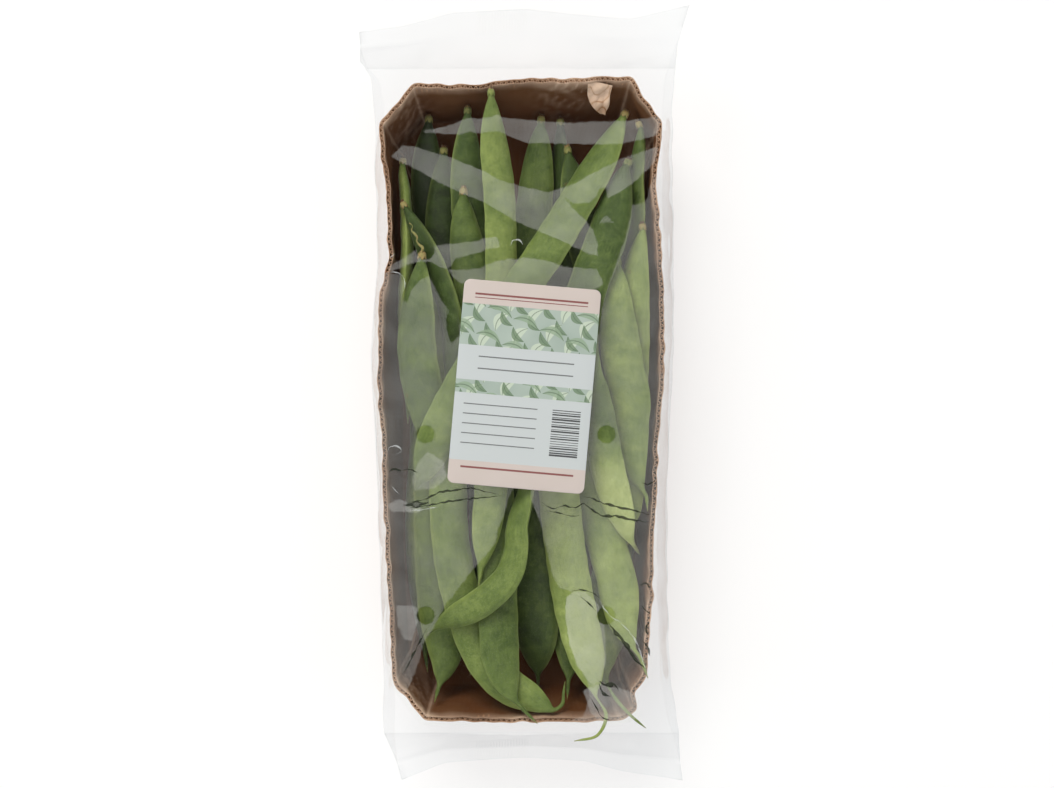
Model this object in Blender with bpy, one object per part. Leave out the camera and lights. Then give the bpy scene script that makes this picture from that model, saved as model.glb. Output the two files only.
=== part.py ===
"""A bundle of flat green beans: pods laid lengthwise in a tray of corrugated board, held by a clear film sleeve.

All dimensions here are in millimetres, and each mesh is scaled to metres as it is made. The pack lies on its film
underside, the beans' stems towards +Y, with the origin under the middle of the film's box.
"""

import itertools
import math
from collections import namedtuple

import bmesh
import bpy
import numpy as np

MM = 0.001

# Clearances left between pieces that touch on the real pack: pod to pod, pod to the sloping walls, film to tray
GAP = 0.32
WALL_GAP = 1.6
FILM_GAP = 0.3

# Thickness of the film, and of the tray's corrugated board, which is folded up into eight walls
FILM = 0.5
BOARD = 2.0
TRAY_FLOOR_Z = FILM + FILM_GAP
TRAY_RIM_Z = 40.0
RIM_OUTLINE = [
    (-46, -151), (-2, -152), (44, -151), (52, -147), (51, -138), (57, -130), (58.5, -104), (59.5, -76), (61, -40),
    (63, -12), (65, 25), (64.5, 53), (63, 76), (61, 99), (63.5, 126), (50, 147), (16, 146), (-11, 145), (-34, 143),
    (-52.5, 143.5), (-67, 126), (-64.5, 95), (-63, 64), (-67, 44), (-68, 20), (-67, -12), (-65, -40), (-64, -76),
    (-62.5, -104), (-61, -133),
]
SIDE_BEYOND = 40.0
WALL_TAPER = 0.93
BASE_LOW = (-59.5, -140.0)
BASE_HIGH = (57.0, 131.0)

# The film sleeve: its edges as seen from above, and the height of its crimped ends
FILM_LEFT = [(-184, -58), (-172, -61), (-157, -65), (-133, -65), (-100, -66), (-40, -68), (20, -71), (60, -68),
             (130, -69), (147, -71), (160, -77), (184, -78)]
FILM_RIGHT = [(-184, 75), (-160, 72), (-136, 68), (-104, 66), (-40, 66), (25, 69), (60, 69), (125, 68), (147, 69),
              (165, 72), (184, 78)]
TOP_EDGE = [(-78, 171), (-58, 174), (-34, 181), (0, 182), (20, 180), (50, 178), (78, 184)]
BOTTOM_EDGE = [(-60, -184), (-48, -178), (-38, -174), (0, -172), (28, -173), (46, -178), (75, -183)]
SLEEVE_END_Y = 184.0
TOP_FOLD_Y = 150.0
BOTTOM_FOLD_Y = -156.0
BODY_ROW = 11.5
FIN_ROWS = (0.12, 0.38, 0.66, 1.0)
FIN_Z = 14.0
FIN_WAVE = 2.2
SIDE_BULGE = 2.0
FILM_RISE = 0.7
FOOT_INSET = 3.5
TOP_COLUMNS = 13
LOWER_STEP = 2
TIGHTEN_ROUNDS = 400
TIGHTEN_REACH = 8

# Air holes punched through the film's upper side, in three rows of three
HOLE_RADIUS = 4.1
HOLE_COLUMNS = (-45.5, -3.9, 37.7)
HOLE_ROWS = (66.3, -18.3, -101.9)
HOLE_SIDES = 12
CUTTER_DEPTH = 24.0

# The label stuck to the film
LABEL_WIDTH = 63.0
LABEL_HEIGHT = 94.0
LABEL_CENTRE = (-0.1, 3.7)
LABEL_TURN = math.radians(-5)
LABEL_CORNER = 3.0
LABEL_THICK = 0.4
FLAT_MARGIN = 13.0

# The pods' form, as shares of their full half width and half thickness against millimetres from each end
HALF_THICK = 3.2
SHOULDER_AT = (0, 4, 8, 16, 28, 42)
SHOULDER_WIDTH = (0.16, 0.19, 0.38, 0.66, 0.91, 1.0)
SHOULDER_THICK = (0.42, 0.48, 0.62, 0.85, 0.97, 1.0)
NECK_AT = (0, 5, 12, 22, 32)
NECK_WIDTH = (0.13, 0.42, 0.74, 0.95, 1.0)
NECK_THICK = (0.33, 0.55, 0.8, 0.97, 1.0)
FULL_LENGTH_FORM = 80.0
TAIL_RADIUS = (1.1, 0.5)
BODY_STATION = 13.0
RING_SIDES = 8

# How the pods are laid: the moves to either side and the tilts tried for each, more freely where it is hidden,
# and how stiffly one bridges what is under it
HIDDEN = ((-3.0, 0.0, 3.0), (-24.0, -12.0, 0.0, 12.0, 24.0))
SEEN = ((0.0,), (-10.0, 0.0, 10.0))
PROBES_ACROSS = np.linspace(-0.97, 0.97, 13)
RELAX_ROUNDS = 26
END_DROOP = 0.12
CELL = 1.0
MAP_LOW = np.array([-90.0, -195.0])
MAP_SIZE = (181, 391)

Pod = namedtuple("Pod", "name route width roll tail level play")

# From the floor of the tray upwards. A route runs from the stem to the tip of the tail. Roll is the pod's
# turn about its own length at each end, 0 lying flat and 90 standing on its seam. Level is the height about
# which it lies, for the slope of the walls beside it.
PODS = [
    Pod("bean_01", [(-48, 132), (-49, 112), (-48, 90), (-48, 58), (-49, 21), (-49, -16), (-48, -58)], 17, (0, 0), 8, 22,
        HIDDEN),
    Pod("bean_02", [(-38, 117), (-38, 88), (-37, 34), (-34, -16), (-32, -67)], 18, (0, 0), 9, 8, SEEN),
    Pod("bean_03", [(17, 131), (17, 112), (17, 62), (18, 21), (21, -26), (22, -67)], 17, (70, 0), 9, 8, SEEN),
    Pod("bean_04", [(8, 132), (6, 103), (2, 62), (-1, 21), (-2, -21), (-2, -63)], 17, (0, 0), 10, 12, SEEN),
    Pod("bean_05", [(20, 117), (25, 88), (33, 50), (36, 11), (37, -35), (34, -76)], 17, (0, 0), 9, 12, SEEN),
    Pod("bean_06", [(-25, -16), (-21, -52), (-20, -92), (-23, -117), (-29, -134)], 17, (0, 0), 9, 8, HIDDEN),
    Pod("bean_07", [(46, 92), (48, 52), (49, 11), (48, -26), (47, -62), (46, -96)], 17, (0, 0), 9, 8, HIDDEN),
    Pod("bean_08", [(-48, 4), (-51, -28), (-53, -56), (-52, -85), (-49, -108), (-46, -132)], 15, (75, 65), 10, 14,
        SEEN),
    Pod("bean_09", [(20, -18), (21, -60), (22, -93), (22, -115), (20, -143)], 18, (0, 0), 9, 8, SEEN),
    Pod("bean_10", [(46, -24), (43, -60), (40, -90), (39, -112), (37, -131), (41, -139), (48, -147), (56, -154)],
        18, (0, 0), 27, 20, SEEN),
    Pod("bean_11", [(-42, 6), (-42, -34), (-42, -74), (-40, -103), (-37, -121), (-42, -144)], 19, (0, 0), 8, 16,
        SEEN),
    Pod("bean_12", [(-3, 36), (2, -8), (4, -55), (5, -93), (6, -116), (6.5, -140)], 21, (0, 0), 7, 16, SEEN),
    Pod("bean_13", [(-26.5, 135), (-27, 113), (-26, 83), (-21, 46), (-17, -3), (-15, -40), (-14, -76)], 16, (0, 0), 9,
        16, SEEN),
    Pod("bean_14", [(55, 128), (54, 104), (53, 86), (50.5, 70), (49.5, 60), (51, 44), (54, 26), (55, 12)], 13,
        (65, 50), 5, 27, SEEN),
    Pod("bean_15", [(28, 10), (29, -24), (34, -52), (40, -76), (46, -97), (50, -111), (57, -131)],
        19, (0, 25), 14, 22, SEEN),
    Pod("bean_16", [(54.5, 80), (56, 66), (57, 56), (57, 42), (57, 20), (55, -12), (52, -44), (48, -70)], 16,
        (45, 20), 9, 24, SEEN),
    Pod("bean_17", [(-42, 58), (-37, 30), (-34, -3), (-35.5, -35), (-34, -72), (-28, -100), (-20, -121),
                    (-8, -135), (4, -141), (16, -146), (19, -134)], 17.5, (0, 12), 15, 22, SEEN),
    Pod("bean_18", [(-28.5, 97), (-28, 78), (-24, 53), (-19, -3), (-14, -49), (-13, -76), (-12, -102), (-11, -122),
                    (-5, -140), (6, -152)], 18, (0, 0), 14, 27, SEEN),
    Pod("bean_19", [(-15.5, 141.5), (-14.5, 120), (-12, 97), (-11, 76), (-11, 44), (-12, -3), (-16, -49), (-21, -89)],
        14.5, (0, 10), 8, 26, SEEN),
    Pod("bean_20", [(-57, 112), (-59, 86), (-58, 62), (-56, 38), (-55, 10), (-55, -14)], 14, (80, 80), 8, 24, SEEN),
    Pod("bean_22", [(-57, 90), (-47, 71), (-39, 52), (-34, 36), (-33, 14), (-34, -10)], 13, (35, 40), 7, 30, SEEN),
    Pod("bean_23", [(43, 64), (42.5, 48), (42.5, 34), (44, 25), (45, 16), (47, 7), (50, -3), (53, -12), (55, -22),
                    (55.5, -36), (57, -54)], 19, (0, 40), 10, 28, SEEN),
    Pod("bean_21", [(49, 110), (45, 99), (43, 90), (40.5, 81), (37.5, 71), (33.5, 61), (30, 52), (26, 34), (25.5, 22),
                    (28, 7), (32, -4), (35, -17), (38, -32), (41, -44), (45, -56), (48.5, -66), (54, -75)],
        19, (0, 35), 7, 28, SEEN),
    Pod("bean_24", [(-47, 66), (-49, 44), (-50, 25), (-48, 7), (-44, -9), (-41, -34)], 19, (45, 0), 6, 30, SEEN),
    Pod("bean_25", [(11, 22), (14, -12), (16, -44), (19, -72), (23.5, -99), (28, -118), (31.5, -132), (34, -143),
                    (39, -152), (34, -157), (23, -160)], 19, (0, 0), 34, 30, SEEN),
    Pod("bean_26", [(48, 133), (37, 111), (23.5, 88), (10, 66), (-3, 47), (-18, 21), (-33, -5), (-42, -24), (-47, -37),
                    (-52, -47)], 18, (25, 0), 5, 33, SEEN),
    Pod("bean_27", [(4, -20), (2.5, -38), (0, -48), (-3, -57), (-3.5, -68), (-5, -78), (-9, -86), (-16, -93),
                    (-26, -100), (-36, -105), (-43, -110), (-46, -113)], 14, (72, 0), 5, 34, SEEN),
]

SKIN_GREENS = [(0.13, 0.20, 0.06), (0.17, 0.25, 0.08), (0.21, 0.30, 0.10)]
BOARD_BROWN = (0.33, 0.20, 0.12)
FILM_CLEAR = (0.85, 0.87, 0.88)
LABEL_CREAM = (0.75, 0.70, 0.64)


def remove_everything():
    """Clears the scene's objects."""
    for obj in list(bpy.data.objects):
        bpy.data.objects.remove(obj, do_unlink=True)


def material(name, colour, roughness, alpha=1.0):
    """A Principled material of one colour."""
    made = bpy.data.materials.new(name)
    made.use_nodes = True
    shader = made.node_tree.nodes["Principled BSDF"]
    shader.inputs["Base Color"].default_value = (*colour, 1.0)
    shader.inputs["Roughness"].default_value = roughness
    shader.inputs["Metallic"].default_value = 0.0
    shader.inputs["Alpha"].default_value = alpha
    return made


def add_object(name, points, faces, made):
    """A named object from points in millimetres and faces, with its normals turned outwards by the face order."""
    mesh = bpy.data.meshes.new(name)
    mesh.from_pydata((np.asarray(points) * MM).tolist(), [], [list(map(int, f)) for f in faces])
    mesh.materials.append(made)
    obj = bpy.data.objects.new(name, mesh)
    bpy.context.scene.collection.objects.link(obj)
    return obj


def loft_faces(loops, around):
    """Quads between `loops` closed loops of `around` points each, listed one after another."""
    k, j = np.meshgrid(np.arange(loops - 1), np.arange(around), indexing="ij")
    first, second = k * around + j, k * around + (j + 1) % around
    return np.stack([first, second, second + around, first + around], axis=-1).reshape(-1, 4).tolist()


def loft_triangles(loops, around):
    """The same quads, each split from its first corner to its third."""
    quads = loft_faces(loops, around)
    return [(a, b, c) for a, b, c, _ in quads] + [(a, c, d) for a, _, c, d in quads]


def curve_through(points, count=240):
    """A cubic curve through the points, whose slope at each comes from its neighbours, as `count` points."""
    p = np.array(points, float)
    t = np.r_[0, np.cumsum(np.linalg.norm(np.diff(p, axis=0), axis=1))]
    slope = np.gradient(p, t, axis=0)
    fine = np.linspace(0, t[-1], count)
    k = np.clip(np.searchsorted(t, fine, side="right") - 1, 0, len(t) - 2)
    h = (t[k + 1] - t[k])[:, None]
    u = (fine - t[k])[:, None] / h
    start = (2 * u**3 - 3 * u**2 + 1) * p[k] + (u**3 - 2 * u**2 + u) * h * slope[k]
    return start + (3 * u**2 - 2 * u**3) * p[k + 1] + (u**3 - u**2) * h * slope[k + 1]


def inside(outline, x, y):
    """True where (x, y) lies inside the closed outline, by counting the edges crossed along +X."""
    found = np.zeros(np.shape(x), bool)
    for (x0, y0), (x1, y1) in zip(outline, np.roll(outline, -1, axis=0)):
        if y0 == y1:
            continue
        crosses = (y0 > y) != (y1 > y)
        found ^= crosses & (x < x0 + (y - y0) / (y1 - y0) * (x1 - x0))
    return found


def inset(outline, distance):
    """The outline moved inwards by `distance`, each corner along the bisector of its edges' normals."""
    p = np.array(outline, float)
    along = np.roll(p, -1, axis=0) - p
    normal = np.stack([-along[:, 1], along[:, 0]], axis=1) / np.linalg.norm(along, axis=1)[:, None]
    before = np.roll(normal, 1, axis=0)
    bisector = normal + before
    share = 2 / np.maximum((bisector**2).sum(axis=1), 1.0)
    return p + bisector * share[:, None] * distance


def base_outline():
    """The tray's foot: the rim's outline tapered in, and cut straight at its four sides."""
    return np.clip(np.array(RIM_OUTLINE, float) * WALL_TAPER, BASE_LOW, BASE_HIGH)


def make_tray(board):
    """The folded board: outer foot and rim, then inner rim and floor, joined by the base and the rim's edge."""
    rim, base = np.array(RIM_OUTLINE, float), base_outline()
    loops = [
        (base, TRAY_FLOOR_Z),
        (rim, TRAY_RIM_Z),
        (inset(rim, BOARD), TRAY_RIM_Z),
        (inset(base, BOARD), TRAY_FLOOR_Z + BOARD),
    ]
    points = np.concatenate([np.c_[outline, np.full(len(outline), z)] for outline, z in loops])
    around = len(rim)
    faces = loft_faces(len(loops), around)
    faces.append(list(range(around))[::-1])
    faces.append([3 * around + k for k in range(around)])
    return add_object("cardboard_tray", points, faces, board)


def map_grid():
    """The x and y of each cell of the height map."""
    x = MAP_LOW[0] + CELL * np.arange(MAP_SIZE[0])
    y = MAP_LOW[1] + CELL * np.arange(MAP_SIZE[1])
    return np.meshgrid(x, y, indexing="ij")


def cells(x, y):
    """The height map's cell under each point."""
    i = np.rint((x - MAP_LOW[0]) / CELL).astype(int).clip(0, MAP_SIZE[0] - 1)
    j = np.rint((y - MAP_LOW[1]) / CELL).astype(int).clip(0, MAP_SIZE[1] - 1)
    return i, j


def widened(heights, reach=1):
    """Each cell raised to the highest within `reach` cells of it."""
    out = heights.copy()
    for di, dj in itertools.product(range(-reach, reach + 1), repeat=2):
        out = np.maximum(out, np.roll(heights, (di, dj), axis=(0, 1)))
    return out


def tray_ground():
    """What the first pods lie on: the tray's floor, its sloping walls in steps, and its rim."""
    x, y = map_grid()
    floor, rim = inset(base_outline(), BOARD), inset(RIM_OUTLINE, BOARD)
    ground = np.where(inside(RIM_OUTLINE, x, y), TRAY_RIM_Z, 0.0)
    for share in np.linspace(1, 0, 21):
        level = TRAY_FLOOR_Z + BOARD + share * (TRAY_RIM_Z - TRAY_FLOOR_Z - BOARD)
        ground[inside(floor + share * (rim - floor), x, y)] = level
    return widened(ground)


def stations_of(length, tail):
    """Distances from the stem at which a pod has a ring, closer together at both of its ends."""
    body = length - tail
    scale = min(1.0, body / FULL_LENGTH_FORM)
    head = np.array(SHOULDER_AT) * scale
    neck = body - np.array(NECK_AT)[::-1] * scale
    between = max(1, round((neck[0] - head[-1]) / BODY_STATION))
    middle = np.linspace(head[-1], neck[0], between + 1)[1:-1] if neck[0] > head[-1] else []
    head = head[head < neck[0] - 2]
    return np.r_[head, middle, neck, np.linspace(body, length, 4)[1:]]


def half_sizes(at, length, pod):
    """Half the width and half the thickness of a pod at each distance from its stem."""
    body = length - pod.tail
    scale = min(1.0, body / FULL_LENGTH_FORM)
    full = pod.width / 2
    thick = HALF_THICK * min(1.0, pod.width / 12)
    head, neck = at / scale, (body - at) / scale
    wide = full * np.minimum(
        np.interp(head, SHOULDER_AT, SHOULDER_WIDTH), np.interp(neck, NECK_AT, NECK_WIDTH)
    )
    deep = thick * np.minimum(
        np.interp(head, SHOULDER_AT, SHOULDER_THICK), np.interp(neck, NECK_AT, NECK_THICK)
    )
    tail = np.interp(at, [body, length], TAIL_RADIUS)
    return np.where(at >= body, tail, wide), np.where(at >= body, tail, np.minimum(deep, wide))


def sideways(xy):
    """The unit vector to the left of a path, at each of its points."""
    along = np.gradient(xy, axis=0)
    along /= np.linalg.norm(along, axis=1)[:, None]
    return np.stack([-along[:, 1], along[:, 0]], axis=1)


def section(a, b, roll, across):
    """The lower and upper side of a turned ellipse, at `across` as a share of its reach to either side."""
    a, b, roll = a[:, None], b[:, None], roll[:, None]
    reach = np.sqrt((a * np.cos(roll)) ** 2 + (b * np.sin(roll)) ** 2)
    lean = (a**2 - b**2) * np.sin(roll) * np.cos(roll)
    x = across[None, :] * reach
    half = a * b * np.sqrt(np.maximum(reach**2 - x**2, 0))
    return x, (x * lean - half) / reach**2, (x * lean + half) / reach**2


def rest_height(at, fine, need):
    """Heights at the stations that keep a stiff pod above `need`, bridging hollows in straight runs."""
    z = np.interp(at, fine, need)
    segment = np.clip(np.searchsorted(at, fine, side="right") - 1, 0, len(at) - 2)
    share = (at[1:-1] - at[:-2]) / (at[2:] - at[:-2])
    for round_number in range(RELAX_ROUNDS):
        if round_number < RELAX_ROUNDS - 4:
            z[1:-1] += 0.6 * (z[:-2] + share * (z[2:] - z[:-2]) - z[1:-1])
            first = (at[1] - at[0]) / (at[2] - at[1])
            last = (at[-1] - at[-2]) / (at[-2] - at[-3])
            z[0] = z[1] + min(first * (z[1] - z[2]), 0) - END_DROOP
            z[-1] = z[-2] + min(last * (z[-2] - z[-3]), 0) - END_DROOP
        short = np.maximum(need - np.interp(fine, at, z), 0)
        lift = np.zeros(len(z))
        np.maximum.at(lift, segment, short)
        np.maximum.at(lift, segment + 1, short)
        z += lift
    return z


def spread(at, fine, values):
    """Values known at the stations, taken along the straight runs between them."""
    values = np.asarray(values)
    if values.ndim == 1:
        return np.interp(fine, at, values)
    return np.stack([np.interp(fine, at, column) for column in values.T], axis=1)


def side_of(outline, y, sign):
    """The x of the outline's left (-1) or right (1) side at each y."""
    p = np.array(outline, float)
    p = p[p[:, 0] * sign > SIDE_BEYOND]
    p = p[np.argsort(p[:, 1])]
    return np.interp(y, p[:, 1], p[:, 0])


def clear_of_walls(xy, reach, z):
    """The path moved sideways where a pod reaching that far to each side would stand in a wall at its height."""
    floor, rim = inset(base_outline(), BOARD), inset(RIM_OUTLINE, BOARD)
    share = np.clip((z - TRAY_FLOOR_Z - BOARD) / (TRAY_RIM_Z - TRAY_FLOOR_Z - BOARD), 0, 1)
    limits = []
    for sign in (-1, 1):
        foot, top = side_of(floor, xy[:, 1], sign), side_of(rim, xy[:, 1], sign)
        limits.append(foot + share * (top - foot) - sign * (reach + WALL_GAP))
    return np.c_[np.clip(xy[:, 0], *limits), xy[:, 1]]


def settle(pod, ground):
    """Lays a pod on the ground, with the tilt and the place to either side that let it lie lowest."""
    path = curve_through(pod.route)
    run = np.r_[0, np.cumsum(np.linalg.norm(np.diff(path, axis=0), axis=1))]
    at = stations_of(run[-1], pod.tail)
    place = spread(run, at, path)
    a, b = half_sizes(at, run[-1], pod)
    fine = np.arange(0, run[-1], 1.3)
    on_tail = (at > run[-1] - pod.tail)[:, None]
    best, level = None, np.full(len(at), pod.level)
    shifts, tilts = pod.play
    for shift, stem, tip in itertools.product(shifts, tilts, tilts):
        roll = np.radians(np.interp(at, [0, run[-1]], [pod.roll[0] + stem, pod.roll[1] + tip]))
        reach = np.hypot(a * np.cos(roll), b * np.sin(roll))
        xy = place + (shift, 0)
        xy = np.where(on_tail, xy, clear_of_walls(xy, reach, level))
        side = sideways(xy)
        x, low, _ = section(spread(at, fine, a), spread(at, fine, b), spread(at, fine, roll), PROBES_ACROSS)
        where = spread(at, fine, xy)[:, None, :] + x[..., None] * spread(at, fine, side)[:, None, :]
        under = ground[cells(where[..., 0], where[..., 1])]
        z = rest_height(at, fine, (under - low + GAP).max(axis=1))
        height = np.average(z, weights=a * b)
        if best is None or height < best[0]:
            best = (height, xy, side, z, roll)
    _, xy, side, z, roll = best
    return at, xy, side, a, b, z, roll


def cover(ground, laid):
    """The ground with a laid pod's upper side on it."""
    at, xy, side, a, b, z, roll = laid
    fine = np.arange(0, at[-1], 0.6)
    across = np.linspace(-1, 1, 41)
    x, _, high = section(spread(at, fine, a), spread(at, fine, b), spread(at, fine, roll), across)
    where = spread(at, fine, xy)[:, None, :] + x[..., None] * spread(at, fine, side)[:, None, :]
    own = np.zeros(MAP_SIZE)
    np.maximum.at(own, cells(where[..., 0], where[..., 1]), high + spread(at, fine, z)[:, None])
    return np.maximum(ground, widened(own))


def make_pod(pod, laid, skin):
    """A pod's solid: a ring across it at each station, and a flat cap at the stem's cut and the tail's tip."""
    at, xy, side, a, b, z, roll = laid
    turn = 2 * np.pi * np.arange(RING_SIDES) / RING_SIDES
    u, v = a[:, None] * np.cos(turn), b[:, None] * np.sin(turn)
    x = u * np.cos(roll)[:, None] - v * np.sin(roll)[:, None]
    up = u * np.sin(roll)[:, None] + v * np.cos(roll)[:, None]
    flat = xy[:, None, :] + x[..., None] * side[:, None, :]
    points = np.concatenate([flat, (z[:, None] + up)[..., None]], axis=2).reshape(-1, 3)
    faces = loft_faces(len(at), RING_SIDES)
    last = (len(at) - 1) * RING_SIDES
    faces.append(list(range(RING_SIDES))[::-1])
    faces.append([last + k for k in range(RING_SIDES)])
    obj = add_object(pod.name, points, faces, skin)
    obj.data.shade_smooth()
    return obj


def in_label(x, y, margin):
    """True where a point is under the label, or within `margin` of it."""
    dx, dy = x - LABEL_CENTRE[0], y - LABEL_CENTRE[1]
    u = dx * math.cos(LABEL_TURN) + dy * math.sin(LABEL_TURN)
    v = dy * math.cos(LABEL_TURN) - dx * math.sin(LABEL_TURN)
    return (abs(u) < LABEL_WIDTH / 2 + margin) & (abs(v) < LABEL_HEIGHT / 2 + margin)


def film_rows():
    """The x and y of the film's points, row by row, and how far out along a crimped end each row is."""
    across = np.linspace(0, 1, TOP_COLUMNS)
    body = np.linspace(BOTTOM_FOLD_Y, TOP_FOLD_Y, round((TOP_FOLD_Y - BOTTOM_FOLD_Y) / BODY_ROW) + 1)
    rows = [(BOTTOM_FOLD_Y, BOTTOM_EDGE, share) for share in FIN_ROWS[::-1]]
    rows += [(y, TOP_EDGE, 0.0) for y in body]
    rows += [(TOP_FOLD_Y, TOP_EDGE, share) for share in FIN_ROWS]
    fold, share = np.array([row[0] for row in rows]), np.array([row[2] for row in rows])
    reach = fold + share * (np.sign(fold) * SLEEVE_END_Y - fold)
    left, right = np.interp(reach, *np.transpose(FILM_LEFT)), np.interp(reach, *np.transpose(FILM_RIGHT))
    x = left[:, None] + across * (right - left)[:, None]
    edge = straight_runs(x, np.array([np.interp(line, *np.transpose(row[1])) for line, row in zip(x, rows)]))
    y = fold[:, None] + share[:, None] * (edge - fold[:, None])
    return x, y, share[:, None]


def straight_runs(x, values):
    """Each row's values kept at the underside's fewer columns, and taken along straight runs between them."""
    low = slice(None, None, LOWER_STEP)
    return np.array([np.interp(row, row[low], value[low]) for row, value in zip(x, values)])


def fin_heights(x, y):
    """The middle of a crimped end's height, waving across it."""
    return straight_runs(x, FIN_Z + FIN_WAVE * np.sin(x / 13 + np.sign(y[:, :1])))


def film_tops(x, y, share, fin, ground):
    """Heights of the film's inner upper side: stretched level over the rim, the pods and the label's patch."""
    high = widened(ground, TIGHTEN_REACH)[cells(x, y)] + GAP
    level = TRAY_RIM_Z + FILM_RISE
    drop = np.clip(share / FIN_ROWS[2], 0, 1) ** 0.8
    end = level + drop * (fin + FILM / 2 - level)
    on_body = np.broadcast_to(share == 0, x.shape)
    label = in_label(x, y, FLAT_MARGIN) & on_body
    floor = np.maximum(np.where(on_body, level, end), np.where(share < FIN_ROWS[2], high, 0.0))
    floor = np.where(label, floor[label].max(), floor)
    z = floor.copy()
    for _ in range(TIGHTEN_ROUNDS):
        around = (np.roll(z, 1, 0) + np.roll(z, -1, 0) + np.roll(z, 1, 1) + np.roll(z, -1, 1)) / 4
        around[:, [0, -1]] = floor[:, [0, -1]]
        z = np.where(on_body & ~label, np.maximum(floor, around), floor)
    return z


def film_skin(grown, x, y, share, fin, top):
    """One closed skin of the sleeve, `grown` outwards from its inner side: loops of top, side and underside."""
    body = 1 - np.clip(share / FIN_ROWS[2], 0, 1)
    middle, half = (x[:, :1] + x[:, -1:]) / 2, (x[:, -1:] - x[:, :1]) / 2
    unit = (x - middle) / half
    upper_x = middle + unit * (half - FILM + grown)
    low = slice(None, None, LOWER_STEP)
    lower_x = middle + unit[:, low] * (half - FILM + grown - FOOT_INSET * body)
    flat = 1 - body**0.7
    lower_z = (fin[:, low] - FILM / 2) * flat + FILM * (1 - flat) - grown
    upper = np.stack([upper_x, y, top + grown], axis=2)
    lower = np.stack([lower_x, y[:, low], lower_z], axis=2)
    ends = (upper[:, [-1, 0]] + lower[:, [-1, 0]]) / 2
    ends[:, :, 0] += SIDE_BULGE * body * np.array([1, -1])
    return np.concatenate([upper, ends[:, :1], lower[:, ::-1], ends[:, 1:]], axis=1)


def make_film(clear, ground):
    """The sleeve: an outer skin, an inner one that stops short of the crimped ends, and the air holes.

    Returns the height of its flat patch for the label.
    """
    x, y, share = film_rows()
    fin = fin_heights(x, y)
    top = film_tops(x, y, share, fin, ground)
    outer = film_skin(FILM, x, y, share, fin, top)
    inner = film_skin(0.0, x, y, share, fin, top)[1:-1]
    around = outer.shape[1]
    loop = np.arange(around)
    start = len(outer) * around
    points = np.concatenate([outer.reshape(-1, 3), inner.reshape(-1, 3)])
    faces = loft_triangles(len(outer), around)
    faces += [[start + k for k in face[::-1]] for face in loft_triangles(len(inner), around)]
    faces.append(loop[::-1])
    faces.append(start - around + loop)
    faces.append(start + loop)
    faces.append(start + (len(inner) - 1) * around + loop[::-1])
    film = add_object("film_sleeve", points, faces, clear)
    cutters = bpy.data.collections.new("hole_cutters")
    bpy.context.scene.collection.children.link(cutters)
    for hole_x, hole_y in itertools.product(HOLE_COLUMNS, HOLE_ROWS):
        cutters.objects.link(hole_cutter(hole_x, hole_y))
    cut = film.modifiers.new("air_holes", "BOOLEAN")
    cut.operation = "DIFFERENCE"
    cut.solver = "EXACT"
    cut.operand_type = "COLLECTION"
    cut.collection = cutters
    return top[in_label(x, y, FLAT_MARGIN)].max() + FILM


def hole_cutter(x, y):
    """A prism through the film's upper side, where an air hole is punched."""
    mesh = bpy.data.meshes.new("hole_cutter")
    shape = bmesh.new()
    radius = HOLE_RADIUS * MM
    bmesh.ops.create_cone(
        shape, cap_ends=True, segments=HOLE_SIDES, radius1=radius, radius2=radius, depth=CUTTER_DEPTH * MM
    )
    shape.to_mesh(mesh)
    shape.free()
    cutter = bpy.data.objects.new("hole_cutter", mesh)
    cutter.location = (x * MM, y * MM, TRAY_RIM_Z * MM)
    cutter.hide_render = True
    cutter.display_type = "WIRE"
    return cutter


def make_label(paper, film_top):
    """The label: a thin sheet with rounded corners, flat on the film."""
    corner = np.radians(np.linspace(0, 90, 5))
    outline = []
    for quarter, (sx, sy) in enumerate([(1, 1), (-1, 1), (-1, -1), (1, -1)]):
        centre = (sx * (LABEL_WIDTH / 2 - LABEL_CORNER), sy * (LABEL_HEIGHT / 2 - LABEL_CORNER))
        swing = corner + quarter * np.pi / 2
        outline += [
            (centre[0] + LABEL_CORNER * math.cos(t), centre[1] + LABEL_CORNER * math.sin(t)) for t in swing
        ]
    around = len(outline)
    low = np.c_[outline, np.zeros(around)]
    points = np.concatenate([low, low + (0, 0, LABEL_THICK)])
    faces = loft_faces(2, around)
    faces.append(list(range(around))[::-1])
    faces.append([around + k for k in range(around)])
    label = add_object("label", points, faces, paper)
    label.location = (LABEL_CENTRE[0] * MM, LABEL_CENTRE[1] * MM, (film_top + FILM_GAP) * MM)
    label.rotation_euler = (0, 0, LABEL_TURN)
    return label


def main():
    remove_everything()
    board = material("kraft_corrugated_board", BOARD_BROWN, 0.85)
    clear = material("clear_film", FILM_CLEAR, 0.12, alpha=0.25)
    paper = material("label_paper", LABEL_CREAM, 0.55)
    skins = [material(f"bean_skin_{k}", green, 0.5) for k, green in enumerate(SKIN_GREENS)]
    make_tray(board)
    ground = tray_ground()
    for number, pod in enumerate(PODS):
        laid = settle(pod, ground)
        make_pod(pod, laid, skins[number % len(skins)])
        ground = cover(ground, laid)
    film_top = make_film(clear, ground)
    make_label(paper, film_top)


main()
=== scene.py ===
import math

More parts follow.
